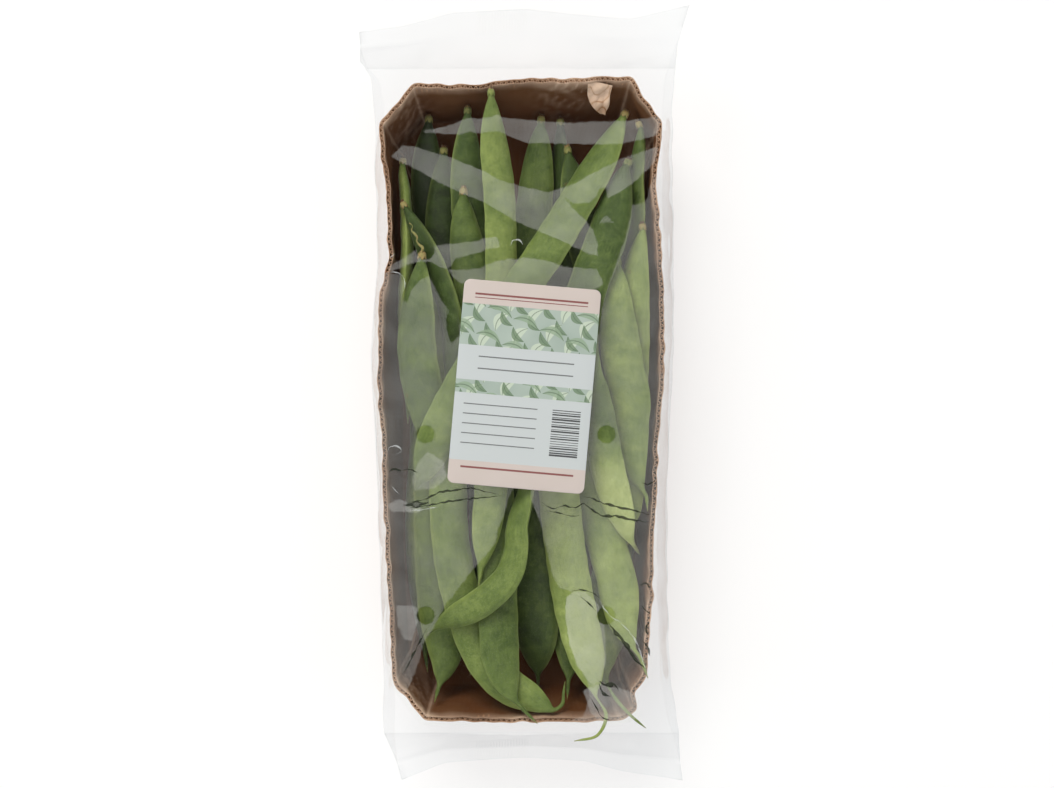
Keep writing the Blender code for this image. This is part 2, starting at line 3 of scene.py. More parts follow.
import bpy
import numpy as np
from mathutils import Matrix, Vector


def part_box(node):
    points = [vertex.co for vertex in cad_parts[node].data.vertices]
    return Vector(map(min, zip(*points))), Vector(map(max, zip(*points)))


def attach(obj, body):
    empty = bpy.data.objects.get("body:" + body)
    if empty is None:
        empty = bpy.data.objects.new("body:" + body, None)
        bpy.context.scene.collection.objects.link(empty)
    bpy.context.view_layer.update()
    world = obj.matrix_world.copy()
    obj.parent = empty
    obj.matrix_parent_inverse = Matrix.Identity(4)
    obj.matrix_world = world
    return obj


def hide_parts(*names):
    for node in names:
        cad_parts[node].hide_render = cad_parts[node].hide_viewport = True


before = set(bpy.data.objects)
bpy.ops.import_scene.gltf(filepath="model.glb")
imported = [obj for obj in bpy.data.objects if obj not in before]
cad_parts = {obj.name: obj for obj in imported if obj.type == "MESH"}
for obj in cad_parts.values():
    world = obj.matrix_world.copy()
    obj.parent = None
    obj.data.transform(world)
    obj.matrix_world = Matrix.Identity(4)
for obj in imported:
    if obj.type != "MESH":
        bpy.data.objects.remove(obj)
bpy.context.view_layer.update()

MM = 0.001


# Tray of corrugated board
# One blank of thin single-wall board, folded up into eight walls and crumpled a little by handling. Two
# kraft liners are glued to a fluted sheet, and the flutes show along the cut rim. Lengths are in mm.
BOARD = 2.0
LINER = 0.3
FLUTE_PITCH = 2.4
FOOT_Z = 0.9
RIM_Z = 39.9
WALL_TAPER = 0.93
BASE_LOW = (-59.5, -140.0)
BASE_HIGH = (57.0, 131.0)
RIM_OUTLINE = [
    (-46, -151), (-2, -152), (44, -151), (52, -147), (51, -138), (57, -130), (58.5, -104), (59.5, -76),
    (61, -40), (63, -12), (65, 25), (64.5, 53), (63, 76), (61, 99), (63.5, 126), (50, 147), (16, 146),
    (-11, 145), (-34, 143), (-52.5, 143.5), (-67, 126), (-64.5, 95), (-63, 64), (-67, 44), (-68, 20),
    (-67, -12), (-65, -40), (-64, -76), (-62.5, -104), (-61, -133),
]
TRAY_STEPS = 840
WALL_ROWS = 15
FLUTE_POINTS = 6
RIM_SAG = 1.3

# The rows of the fluted sheet, which is only seen at the rim, as shares of the wall's height
FLUTE_ROWS = (0.75, 0.85, 0.993)

# The rings of the base, from its middle out, as shares of its outline
BASE_RINGS = (0.04, 0.35, 0.7, 0.93)

# The board is worn where its outline turns by more than this, over this far on either side
FOLD_TURN = math.radians(13)
FOLD_WIDTH = 1.3

# Score lines inside, painted as faint lines of shade: their heights, and how far they waver
SCORE_HEIGHTS = (13.0, 22.0)
WAVER = 10.0
KRAFT = "#9A6C46"
KRAFT_DARK = "#7A5030"
KRAFT_PALE = "#BC9068"
KRAFT_SHADED = "#502C13"
KRAFT_WORN = "#D6BAA2"

# Where the board is crumpled: place, and how far round it
CRUMPLED = [
    ((-62, 134), 13.0), ((-60, -140), 13.0), ((60, 112), 9.0), ((58, -112), 15.0), ((20, 146), 12.0),
]


def linear(hex_colour):
    """An sRGB hex value as linear red, green and blue, with full alpha."""
    parts = [int(hex_colour[k:k + 2], 16) / 255 for k in (1, 3, 5)]
    return [p / 12.92 if p <= 0.04045 else ((p + 0.055) / 1.055) ** 2.4 for p in parts] + [1.0]


def add_node(made, kind, inputs=None, stops=(), **settings):
    """Adds a node to a material. An input takes a value, a hex colour, a socket or a node's first output."""
    node = made.node_tree.nodes.new("ShaderNode" + kind)
    for name, value in settings.items():
        setattr(node, name, value)
    for key, value in (inputs or {}).items():
        if isinstance(value, str):
            value = linear(value)
        if isinstance(value, bpy.types.Node):
            value = value.outputs[0]
        if isinstance(value, bpy.types.NodeSocket):
            made.node_tree.links.new(value, node.inputs[key])
        else:
            node.inputs[key].default_value = value
    for number, (place, colour) in enumerate(stops):
        elements = node.color_ramp.elements
        stop = elements[number] if number < 2 else elements.new(place)
        stop.position = place
        stop.color = linear(colour)
    return node


def new_material(name):
    """An empty node material."""
    made = bpy.data.materials.new(name)
    made.use_nodes = True
    made.node_tree.nodes.clear()
    return made


def maths(made, operation, *values, clamp=False):
    """One operation on up to three numbers or sockets."""
    return add_node(made, "Math", dict(enumerate(values)), operation=operation, use_clamp=clamp)


def product(made, value, *others):
    """Numbers multiplied together."""
    for other in others:
        value = maths(made, "MULTIPLY", value, other)
    return value


def weighted(made, total, *parts):
    """A number with others added to it, each multiplied by its weight."""
    for value, weight in parts:
        total = maths(made, "MULTIPLY_ADD", value, weight, total)
    return total


def mixed(made, share, first, second):
    """A colour that lies this share of the way from the first to the second."""
    return add_node(made, "MixRGB", {"Fac": share, "Color1": first, "Color2": second})


def ranged(made, value, start, end=(0.0, 1.0)):
    """A number carried from one span to another, and held at its ends."""
    spans = {"From Min": start[0], "From Max": start[1], "To Min": end[0], "To Max": end[1]}
    return add_node(made, "MapRange", {"Value": value, **spans})


def ramp(made, value, *stops):
    """A colour read off a ramp. Its two end stops come first, then those between them."""
    return add_node(made, "ValToRGB", {"Fac": value}, stops=stops)


def bumped(made, height, strength, depth, normal=None):
    """A surface that a height from 0 to 1 lifts by a depth in millimetres."""
    inputs = {"Height": height, "Strength": strength, "Distance": depth * MM}
    return add_node(made, "Bump", inputs if normal is None else {**inputs, "Normal": normal})


def noise(made, place, scale, detail, roughness=0.5, distortion=0.0):
    """Cloudy noise from 0 to 1."""
    inputs = {"Vector": place, "Scale": scale, "Detail": detail}
    return add_node(made, "TexNoise", {**inputs, "Roughness": roughness, "Distortion": distortion})


def marked(made, name):
    """A number that the mesh carries for each of its points."""
    return add_node(made, "Attribute", attribute_name=name).outputs["Fac"]


def surfaced(made, inputs):
    """Ends a material with its one principled shader."""
    shader = add_node(made, "BsdfPrincipled", inputs)
    add_node(made, "OutputMaterial", {"Surface": shader})
    return made


def lattice_faces(rows, columns, joined=False, first=0):
    """Quads between the points of a lattice listed row by row, whose rows may be joined end to end."""
    i, j = np.meshgrid(np.arange(rows - 1), np.arange(columns if joined else columns - 1), indexing="ij")
    here, beside = i * columns + j, i * columns + (j + 1) % columns
    corners = np.stack([here, beside, beside + columns, here + columns], axis=-1)
    return (corners.reshape(-1, 4) + first).tolist()


def fan_faces(ring, point, turned=False):
    """Triangles from each pair of neighbours in a ring to one point."""
    ring = np.asarray(ring)
    after = np.roll(ring, -1)
    if turned:
        ring, after = after, ring
    return [(int(a), int(b), int(point)) for a, b in zip(ring, after)]


def ripple(x, y, size, seed):
    """Smooth seeded noise from about -1 to 1: seven plane waves near `size` long, in seeded directions."""
    draw = np.random.default_rng(seed)
    total = 0.0
    for _ in range(7):
        turn = draw.uniform(0, np.pi)
        length = size * draw.uniform(0.7, 1.5)
        start = draw.uniform(0, 2 * np.pi)
        total = total + np.sin((x * np.cos(turn) + y * np.sin(turn)) * 2 * np.pi / length + start)
    return total / 3.5


def smoothstep(x):
    """Rises from 0 to 1 as x does, level at both ends."""
    x = np.clip(x, 0, 1)
    return x * x * (3 - 2 * x)


def bell(x, width):
    """1 where x is 0, falling away on both sides as e to the power of minus (x over the width) squared."""
    return np.exp(-(x / width) ** 2)


def run_along(points):
    """How far along a path of straight runs each of its points is."""
    return np.r_[0, np.cumsum(np.linalg.norm(np.diff(points, axis=0), axis=1))]


def left_of(along):
    """The level unit vector to the left of each of several directions."""
    along = along[:, :2] / np.linalg.norm(along[:, :2], axis=1)[:, None]
    return np.stack([-along[:, 1], along[:, 0]], axis=1)


def make_piece(name, points, faces, made, uv=None, marks=None):
    """A smooth mesh object from points in millimetres, with a UV and named numbers for each point."""
    mesh = bpy.data.meshes.new(name)
    mesh.from_pydata((np.asarray(points).reshape(-1, 3) * MM).tolist(), [], faces)
    corner = np.empty(len(mesh.loops), np.int32)
    mesh.loops.foreach_get("vertex_index", corner)
    if uv is not None:
        layer = mesh.uv_layers.new(name="surface")
        layer.data.foreach_set("uv", np.asarray(uv, np.float32).reshape(-1, 2)[corner].ravel())
    for key, values in (marks or {}).items():
        mark = mesh.attributes.new(key, "FLOAT", "POINT")
        mark.data.foreach_set("value", np.asarray(values, np.float32).ravel())
    mesh.materials.append(made)
    mesh.shade_smooth()
    piece = bpy.data.objects.new(name, mesh)
    bpy.context.scene.collection.objects.link(piece)
    return piece


def thicken(piece, thickness, offset=-1.0):
    """Gives a sheet its thickness in millimetres, inwards from its face where offset is -1."""
    wall = piece.modifiers.new("thickness", "SOLIDIFY")
    wall.thickness = thickness * MM
    wall.offset = offset
    wall.use_even_offset = False
    return piece


def dress(piece, slot, *nodes):
    """Hangs a piece under the root body and hides the CAD nodes that it stands in for."""
    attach(piece, "root")
    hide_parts(*nodes)


def resample(outline, count, soften):
    """A closed outline as `count` points at even steps, each the mean of those within `soften` mm of it."""
    closed = np.array(outline + outline[:1], float)
    run = run_along(closed)
    step = run[-1] / count
    at = np.arange(count) * step
    points = np.stack([np.interp(at, run, closed[:, k]) for k in range(2)], axis=1)
    reach = int(round(soften / step))
    return sum(np.roll(points, k, axis=0) for k in range(-reach, reach + 1)) / (2 * reach + 1), at, run[-1]


def board_wall(at, rim, foot, normal, depth, share):
    """Points of the wall: from foot (share 0) to rim (share 1), `depth` into the board, bowed and crumpled.

    The bow is half a sine over the height, and the crumple is noise of two sizes that grows towards the
    rim.
    """
    share = share[:, None]
    bow = 0.7 * np.sin(np.pi * share) * (1 + ripple(at, at * 0, 90, 3))
    crumple = share * (0.6 * ripple(at, share * 30, 34, 5) + 0.45 * ripple(at, share * 39, 11, 6))
    flat = foot + share[..., None] * (rim - foot) + (depth - bow - crumple)[..., None] * normal
    sag = RIM_SAG * (0.5 + 0.35 * ripple(at, at * 0, 60, 8) + 0.15 * ripple(at, at * 0, 13, 9)).clip(0, 1)
    return np.concatenate([flat, (FOOT_Z + share * (RIM_Z - FOOT_Z - sag))[..., None]], axis=2)


def kraft_board():
    """Brown kraft paper on corrugated board: unbleached fibre, matt, faintly ribbed by the flutes below.
    Painted shade darkens the inside, the score lines and faint stripes over the flutes.
    """
    made = new_material("kraft_corrugated_board")
    place = add_node(made, "TexCoord")
    cloud = noise(made, place.outputs["Object"], 45.0, 4.0)
    fibre_run = add_node(made, "Mapping", {"Vector": place.outputs["UV"], "Scale": (400.0, 2400.0, 1.0)})
    fibre = noise(made, fibre_run, 1.0, 5.0, roughness=0.7)
    split = add_node(made, "SeparateXYZ", {"Vector": place.outputs["UV"]})
    flute = maths(made, "SINE", product(made, split.outputs["X"], 2 * math.pi / (FLUTE_PITCH * MM)))
    # Painted shade: besides the bump, the flutes lay faint stripes of shade into the colour.
    blend = weighted(made, 0.02, (fibre, 0.45), (cloud, 0.75), (flute, 0.018))
    colour = ramp(made, blend, (0.36, KRAFT_DARK), (0.84, KRAFT_PALE), (0.58, KRAFT))
    height = add_node(made, "SeparateXYZ", {"Vector": place.outputs["Object"]}).outputs["Z"]
    inside = marked(made, "inside")
    wavy = weighted(made, height, (cloud, WAVER * MM))
    # Painted shade: the inside of the tray is painted darker, most towards the floor, for the shade that
    # falls inside it.
    painted_wall_shade = ranged(made, wavy, (14 * MM, 44 * MM), (0.95, 0.7))
    colour = mixed(made, product(made, painted_wall_shade, inside), colour, KRAFT_SHADED)
    worn = ranged(made, height, (32 * MM, 39.5 * MM), (0.0, 0.65))
    worn = weighted(made, worn, (marked(made, "fold"), 0.5))
    worn = maths(made, "MULTIPLY", product(made, cloud, worn), 1.6, clamp=True)
    colour = mixed(made, worn, colour, KRAFT_WORN)
    # Painted shade: thin dark lines along the score lines inside.
    for level in SCORE_HEIGHTS:
        line = maths(made, "COMPARE", wavy, (level + WAVER / 2) * MM, 0.35 * MM)
        colour = mixed(made, product(made, line, inside, 0.3), colour, KRAFT_SHADED)
    bump = bumped(made, weighted(made, fibre, (flute, 0.22)), 0.55, 0.12)
    matt = {"Roughness": 0.86, "Specular IOR Level": 0.2}
    return surfaced(made, {"Base Color": colour, "Normal": bump, **matt})


def worn_folds(rim, corners):
    """How worn the board is at each point of the rim: a bell round every corner where it turns sharply."""
    into = corners - np.roll(corners, 1, axis=0)
    out = np.roll(corners, -1, axis=0) - corners
    turn = np.abs(np.angle((out[:, 0] + 1j * out[:, 1]) / (into[:, 0] + 1j * into[:, 1])))
    sharp = corners[turn > FOLD_TURN]
    return bell(np.linalg.norm(rim[:, None] - sharp, axis=2).min(axis=1), FOLD_WIDTH)


def make_tray(kraft):
    """The outer liner from the base up to the rim, the inner one down to the floor, and the flutes."""
    rim, at, length = resample(RIM_OUTLINE, TRAY_STEPS, 2.2)
    corners = np.array(RIM_OUTLINE, float)
    foot = resample(np.clip(corners * WALL_TAPER, BASE_LOW, BASE_HIGH).tolist(), TRAY_STEPS, 1.5)[0]
    fold = worn_folds(rim, corners)
    normal = left_of(np.roll(rim, -1, axis=0) - np.roll(rim, 1, axis=0))
    rows = np.linspace(0, 1, WALL_ROWS)
    outer = board_wall(at, rim, foot, normal, 0.0, rows)
    inner = board_wall(at, rim, foot, normal, BOARD, rows[::-1])
    middle = foot.mean(axis=0)
    base = middle + np.array(BASE_RINGS)[:, None, None] * (foot - middle)
    under = np.concatenate([base, np.full(base.shape[:2] + (1,), FOOT_Z)], axis=2)
    inner[-1, :, 2] = FOOT_Z + BOARD
    floor_z = FOOT_Z + BOARD + 0.25 * ripple(base[..., 0], base[..., 1], 50, 12)
    floor = np.concatenate([base, floor_z[..., None]], axis=2)[::-1]
    sheets = [np.concatenate([under, outer]), np.concatenate([inner, floor])]
    points, faces, uv, folds, insides, start = [], [], [], [], [], 0
    for number, sheet in enumerate(sheets):
        count = len(sheet)
        faces += lattice_faces(count, TRAY_STEPS, joined=True, first=start)
        pole = start + count * TRAY_STEPS
        ring = start + (0 if number == 0 else (count - 1) * TRAY_STEPS) + np.arange(TRAY_STEPS)
        faces += fan_faces(ring, pole, turned=number == 0)
        end = sheet[0 if number == 0 else -1].mean(axis=0)
        points += [sheet.reshape(-1, 3), end[None]]
        height = sheet[..., 2] - np.linalg.norm(sheet[..., :2] - rim, axis=2)
        around = np.broadcast_to(at, sheet.shape[:2])
        uv += [np.stack([around, height], axis=2).reshape(-1, 2), np.zeros((1, 2))]
        ridged = (1 - np.abs(ripple(sheet[..., 0], sheet[..., 1] + sheet[..., 2], 9, 14))).clip(0) ** 3
        near = sum(bell(np.linalg.norm(sheet[..., :2] - place, axis=2), reach) for place, reach in CRUMPLED)
        folds += [(fold + 1.3 * ridged * near).ravel(), np.zeros(1)]
        insides.append(np.full(sheet.size // 3 + 1, float(number)))
        start = pole + 1
    count = FLUTE_POINTS * round(length / FLUTE_PITCH)
    fine = np.arange(count) * length / count
    wave = BOARD / 2 + (BOARD / 2 - LINER) * np.sin(fine * 2 * np.pi / FLUTE_PITCH)
    lane = [np.interp(fine, at, column, period=length) for column in (*rim.T, *foot.T, *normal.T)]
    fine_rim, fine_foot, fine_normal = (np.stack(lane[k:k + 2], axis=1) for k in (0, 2, 4))
    flutes = board_wall(fine, fine_rim, fine_foot, fine_normal, wave, np.array(FLUTE_ROWS))
    faces += lattice_faces(len(flutes), len(fine), joined=True, first=start)
    points.append(flutes.reshape(-1, 3))
    uv.append(np.stack([np.broadcast_to(fine, flutes.shape[:2]), flutes[..., 2]], axis=2).reshape(-1, 2))
    folds.append(np.zeros(flutes.size // 3))
    insides.append(np.zeros(flutes.size // 3))
    marks = {"fold": np.concatenate(folds), "inside": np.concatenate(insides)}
    points, uv = np.concatenate(points), np.concatenate(uv) * MM
    tray = make_piece("tray_of_corrugated_board", points, faces, kraft, uv=uv, marks=marks)
    dress(thicken(tray, LINER), "kraft_board", "cardboard_tray")


def make_flap(kraft):
    """A torn corner of the inner liner, bent over into the tray, crumpled and drawn in to a ragged tip."""
    down, across = np.meshgrid(np.linspace(0, 1, 44), np.linspace(-1, 1, 30), indexing="ij")
    half = 5.6 * (1 - 0.8 * down**2.2) * (1 + 0.3 * ripple(down * 14, across * 0, 7, 71) * down)
    x = 35.2 + 1.6 * down - 1.5 * np.sin(3 * down) + half * across
    y = 144.2 - 15 * down + 1.6 * ripple(x, down * 3, 7, 72) * down - 1.2 * across * (1 - down)
    crumple = 1.4 * ripple(x, y, 8, 73) + 0.8 * np.abs(ripple(x, y, 5, 74))
    z = 38.6 - 7.5 * down + crumple * np.minimum(1, 4 * down) * 0.9 - 0.8 * np.abs(across)
    points = np.stack([x, y, z], axis=2)
    uv = np.stack([x, y], axis=2) * MM
    marks = {"fold": 1.7 - 1.9 * bell(ripple(x, y, 8, 73), 0.12)}
    flap = make_piece("torn_liner_flap", points, lattice_faces(*x.shape), kraft, uv=uv, marks=marks)
    dress(thicken(flap, 0.25), "kraft_board")


board = kraft_board()
make_tray(board)
make_flap(board)


# Bean pods
# Broad flat pods of a climbing green bean, each one piece that grew as one: a torn stalk in a small dried
# calyx, two valves over a row of seeds, joined along a raised seam on either edge, and a thin beak.
POD_STEP = 1.1
POD_SIDES = 40
SEED_PITCH = 12.5
SEAM_WIDTH = 0.55
SEAM_MARK = 1.1
STEM_LENGTH = 4.0
CALYX_SIDES = 30
THINNEST = 0.35

# Painted shade: low in the tray a pod's green is painted darker, for the shade there: between which heights
# that fades out, and by how much it is
LOW_SHADE_Z = (4.0, 36.0)
LOW_SHADE_PAINT = 0.22

# How light each pod's green is, from 0 for deep green to 1 for pale. The pods are numbered from 1
POD_TONES = [
    0.22, 0.24, 0.30, 0.55, 0.36, 0.42, 0.52, 0.54, 0.48, 0.56, 0.50, 0.42, 0.36, 0.36,
    0.66, 0.66, 0.54, 0.44, 0.60, 0.62, 0.31, 0.24, 0.58, 0.36, 0.70, 0.50, 0.52,
]

# The one pod that pales along its length: between which places on y it does, and by how much
PALING_POD = "bean_21"
PALING_Y = (-8.0, -48.0)
PALING = 0.6

# The dried stalk that still hangs on one pod, seen from above
STALKED_POD = "bean_24"
PEDICEL = [(-47.2, 65.6), (-46.9, 67.6), (-48.4, 69.0), (-49.6, 70.6), (-49.4, 72.4), (-50.5, 74.0),
           (-52.0, 75.6), (-51.6, 77.6), (-53.0, 79.0)]


def merged(name):
    """A CAD node's points, each once, and its edges as pairs of them."""
    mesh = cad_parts[name].data
    where = np.empty(len(mesh.vertices) * 3, np.float32)
    mesh.vertices.foreach_get("co", where)
    points, same = np.unique(where.reshape(-1, 3), axis=0, return_inverse=True)
    ends = np.empty(len(mesh.edges) * 2, np.int32)
    mesh.edges.foreach_get("vertices", ends)
    return points.astype(float) / MM, same.ravel()[ends].reshape(-1, 2)


def rings_of(name):
    """The CAD pod's rings of eight points, found along its edges from those nearest the tray's top end."""
    points, edges = merged(name)
    near = [set() for _ in points]
    for a, b in edges:
        near[a].add(b)
        near[b].add(a)
    rings = [list(np.argsort(points[:, 1])[-8:])]
    done = set(rings[0])
    while len(done) < len(points):
        rings.append(sorted(set().union(*(near[k] for k in rings[-1])) - done))
        done |= set(rings[-1])
    return points[np.array(rings)]


def through(at, values, fine):
    """A cubic curve through values known at `at`, whose slope at each comes from its neighbours."""
    slope = np.gradient(values, at, axis=0)
    k = np.clip(np.searchsorted(at, fine, side="right") - 1, 0, len(at) - 2)
    step = at[k + 1] - at[k]
    u = (fine - at[k]) / step
    if values.ndim > 1:
        u, step = u[:, None], step[:, None]
    start = (2 * u**3 - 3 * u**2 + 1) * values[k] + (u**3 - 2 * u**2 + u) * step * slope[k]
    return start + (3 * u**2 - 2 * u**3) * values[k + 1] + (u**3 - u**2) * step * slope[k + 1]


def pod_line(name):
    """The pod's middle line, sideways direction, roll and half sizes at each step, read from the CAD rings.

    A ring is an ellipse in an upright plane, so the moments of its points give its half sizes and its
    roll.
    """
    rings = rings_of(name)
    centre = rings.mean(axis=1)
    offset = rings - centre[:, None]
    left = left_of(np.gradient(centre, axis=0))
    across, up = (offset[..., :2] * left[:, None]).sum(axis=2), offset[..., 2]
    flat, high, both = (across**2).mean(axis=1), (up**2).mean(axis=1), (across * up).mean(axis=1)
    mean, spread = (flat + high) / 2, np.hypot((flat - high) / 2, both)
    a, b = np.sqrt(2 * (mean + spread)), np.sqrt(2 * (mean - spread))
    known = a - b > 0.3
    order = np.arange(len(a))
    roll = np.unwrap(np.arctan2(2 * both, flat - high)[known]) / 2
    roll = np.interp(order, order[known], roll)
    at = run_along(centre)
    run = np.linspace(0, at[-1], int(at[-1] / POD_STEP) + 2)
    read = {"centre": centre, "roll": roll, "a": a, "b": b}
    line = {key: through(at, values, run) for key, values in read.items()}
    line["a"], line["b"] = line["a"].clip(THINNEST), line["b"].clip(THINNEST)
    line["run"], line["left"] = run, left_of(np.gradient(line["centre"], axis=0))
    return line


def placed(line, run, u, v):
    """Points `u` across and `v` through a pod, at distances `run` from its stem."""
    def at(key):
        values = line[key]
        if values.ndim == 1:
            return np.interp(run, line["run"], values)
        return np.stack([np.interp(run, line["run"], column) for column in values.T], axis=-1)
    roll = at("roll")
    sideways = u * np.cos(roll) - v * np.sin(roll)
    up = u * np.sin(roll) + v * np.cos(roll)
    centre = at("centre")
    flat = centre[..., :2] + sideways[..., None] * at("left")
    return np.concatenate([flat, (centre[..., 2] + up)[..., None]], axis=-1)


def pod_body(line, seed):
    """The pod's skin, ring by ring, with its seams, the swell over each seed and the torn stem.

    Across, the valves are a flattened oval. Along, the swell is a cosine of the seeds' pitch, squared,
    that fades towards the seams and both ends. Each seam is a ridge on the edge with a shallow groove
    beside it.
    """
    draw = np.random.default_rng(seed)
    even = 2 * np.pi * np.arange(POD_SIDES) / POD_SIDES
    turn = even - 0.34 * np.sin(2 * even)
    run = line["run"][:, None]
    a, b = line["a"][:, None], line["b"][:, None]
    body = smoothstep((a - b - 0.4) / 2.5)
    pitch = SEED_PITCH * draw.uniform(0.88, 1.12)
    warp = 1.6 * ripple(run, 0 * run, 55, seed + 40)
    seeds = (0.5 + 0.5 * np.cos(2 * np.pi * (run + warp) / pitch + draw.uniform(0, 6))) ** 1.5
    inner = smoothstep((run - 20) / 18) * smoothstep((run[-1] - 30 - run) / 16)
    scallop = 1 + body * (0.014 * (seeds * 2 - 1) * inner + 0.016 * ripple(run, 0 * run, 38, seed + 60))
    across = np.cos(turn)
    valve = np.sign(np.sin(turn)) * np.sqrt(1 - np.abs(across) ** (2 + 0.35 * body))
    swell = 0.90 + 0.15 * seeds * inner * bell(across - 0.12, 0.42) * body
    dimple = 0.03 * body * ripple(run * 1.0, 6 * across, 9, seed + 80)
    u = a * scallop * across
    v = b * valve * (swell + (1 - body) * 0.10 + dimple)
    seam = bell(v, SEAM_WIDTH) * (np.abs(across) > 0.5) * body
    u = u + np.sign(across) * (0.28 * seam - 0.1 * body)
    v = v - np.sign(v) * 0.13 * body * bell(np.abs(v) - 1.05, 0.4)
    from_edge = np.arccos(np.abs(across).clip(0, 1)) * b
    # Painted highlight: the seam's pale mark is stronger along one edge, standing in for light on that side.
    highlit_edge = np.where((across > 0) == (seed % 2 > 0), 1.0, 0.4)
    seam_tint_and_highlight = bell(from_edge, SEAM_MARK) * body * highlit_edge
    torn = smoothstep((STEM_LENGTH - run) / STEM_LENGTH) * (ripple(3.1 * turn, run, 2.5, seed + 100) - 0.8)
    u, v = u * (1 + 0.28 * torn), v * (1 + 0.28 * torn)
    tip = 1 - 0.6 * smoothstep((run - run[-1] + 5) / 5)
    points = placed(line, np.broadcast_to(run, u.shape), u * tip, v * tip)
    points[0, :, 1] += 0.9 * ripple(turn * 2, turn * 0, 1.6, seed)
    return points, seam_tint_and_highlight, turn


def calyx(line, seed):
    """The dried calyx: a thin cup with five teeth, out along its outside and back along its inside."""
    turn = 2 * np.pi * np.arange(CALYX_SIDES) / CALYX_SIDES
    share = np.array([0.0, 0.4, 0.75, 1.0, 0.97, 0.7, 0.35, 0.02])[:, None]
    grow = np.array([0.25, 0.5, 0.5, 0.42, 0.2, 0.22, 0.22, 0.04])[:, None]
    tooth = np.abs(np.cos(2.5 * turn + seed)) ** 0.7
    run = 0.8 + share * (1.6 + 1.7 * tooth)
    a, b = (np.interp(run, line["run"], line[key]) for key in ("a", "b"))
    curl = grow + 0.2 * share**2 * tooth * (grow > 0.5)
    return placed(line, run, (a + curl) * np.cos(turn), (b + curl) * np.sin(turn))


def tube(path, radius, sides):
    """Rings round a path: at each point, a circle in the plane across it."""
    along = np.gradient(path, axis=0)
    along /= np.linalg.norm(along, axis=1)[:, None]
    side = np.cross(along, (0.0, 0.0, 1.0))
    side /= np.linalg.norm(side, axis=1)[:, None]
    up = np.cross(side, along)
    turn = -2 * np.pi * np.arange(sides) / sides
    ring = np.cos(turn)[None, :, None] * side[:, None] + np.sin(turn)[None, :, None] * up[:, None]
    return path[:, None] + np.asarray(radius)[:, None, None] * ring


def bean_skin():
    """Fresh bean skin: waxy green with a fine felt on it, satin rather than glossy, paler at the seams, and
    on one edge with a painted highlight.
    """
    made = new_material("fresh_bean_skin")
    place = add_node(made, "TexCoord")
    cloud = noise(made, place.outputs["Object"], 48.0, 3.0)
    grain = noise(made, place.outputs["Object"], 900.0, 4.0, roughness=0.7)
    stretch = add_node(made, "Mapping", {"Vector": place.outputs["UV"], "Scale": (160.0, 1100.0, 1.0)})
    vein = noise(made, stretch, 1.0, 2.0, distortion=0.6)
    mottle = noise(made, place.outputs["Object"], 230.0, 2.0)
    shift = weighted(made, -0.6, (cloud, 0.42), (mottle, 0.28), (grain, 0.34), (vein, 0.16))
    level = maths(made, "ADD", marked(made, "tone_and_shade"), shift)
    middle_greens = [(0.3, "#445628"), (0.52, "#67793C"), (0.74, "#8B9A52")]
    green = ramp(made, level, (0.05, "#1E2A0E"), (1.0, "#B4BF78"), *middle_greens)
    # The seams' pale colour: the suture's own paler green, stronger along one edge as a painted highlight.
    green = mixed(made, product(made, marked(made, "seam"), 0.4), green, "#A3B266")
    cells = {"Vector": place.outputs["Object"], "Scale": 70.0, "Randomness": 1.0}
    spots = add_node(made, "TexVoronoi", cells, feature="F1")
    spot = ramp(made, spots.outputs["Distance"], (0.05, "#FFFFFF"), (0.10, "#000000"))
    chance = maths(made, "GREATER_THAN", spots.outputs["Color"], 0.74)
    green = mixed(made, product(made, spot, chance, 0.5), green, "#6E6238")
    dried = maths(made, "ADD", marked(made, "dry"), weighted(made, -0.35, (grain, 0.7)), clamp=True)
    husk = ramp(made, dried, (0.25, "#87904F"), (1.0, "#5A4127"), (0.6, "#9C8558"))
    colour = mixed(made, ranged(made, dried, (0.12, 0.45)), green, husk)
    sheen = ranged(made, mottle, (0.3, 0.7), (0.34, 0.52))
    bump = bumped(made, weighted(made, grain, (vein, 0.4), (mottle, 2.2)), 0.45, 0.22)
    waxy = {"Roughness": sheen, "IOR": 1.42, "Sheen Weight": 0.06}
    return surfaced(made, {"Base Color": colour, "Normal": bump, **waxy})


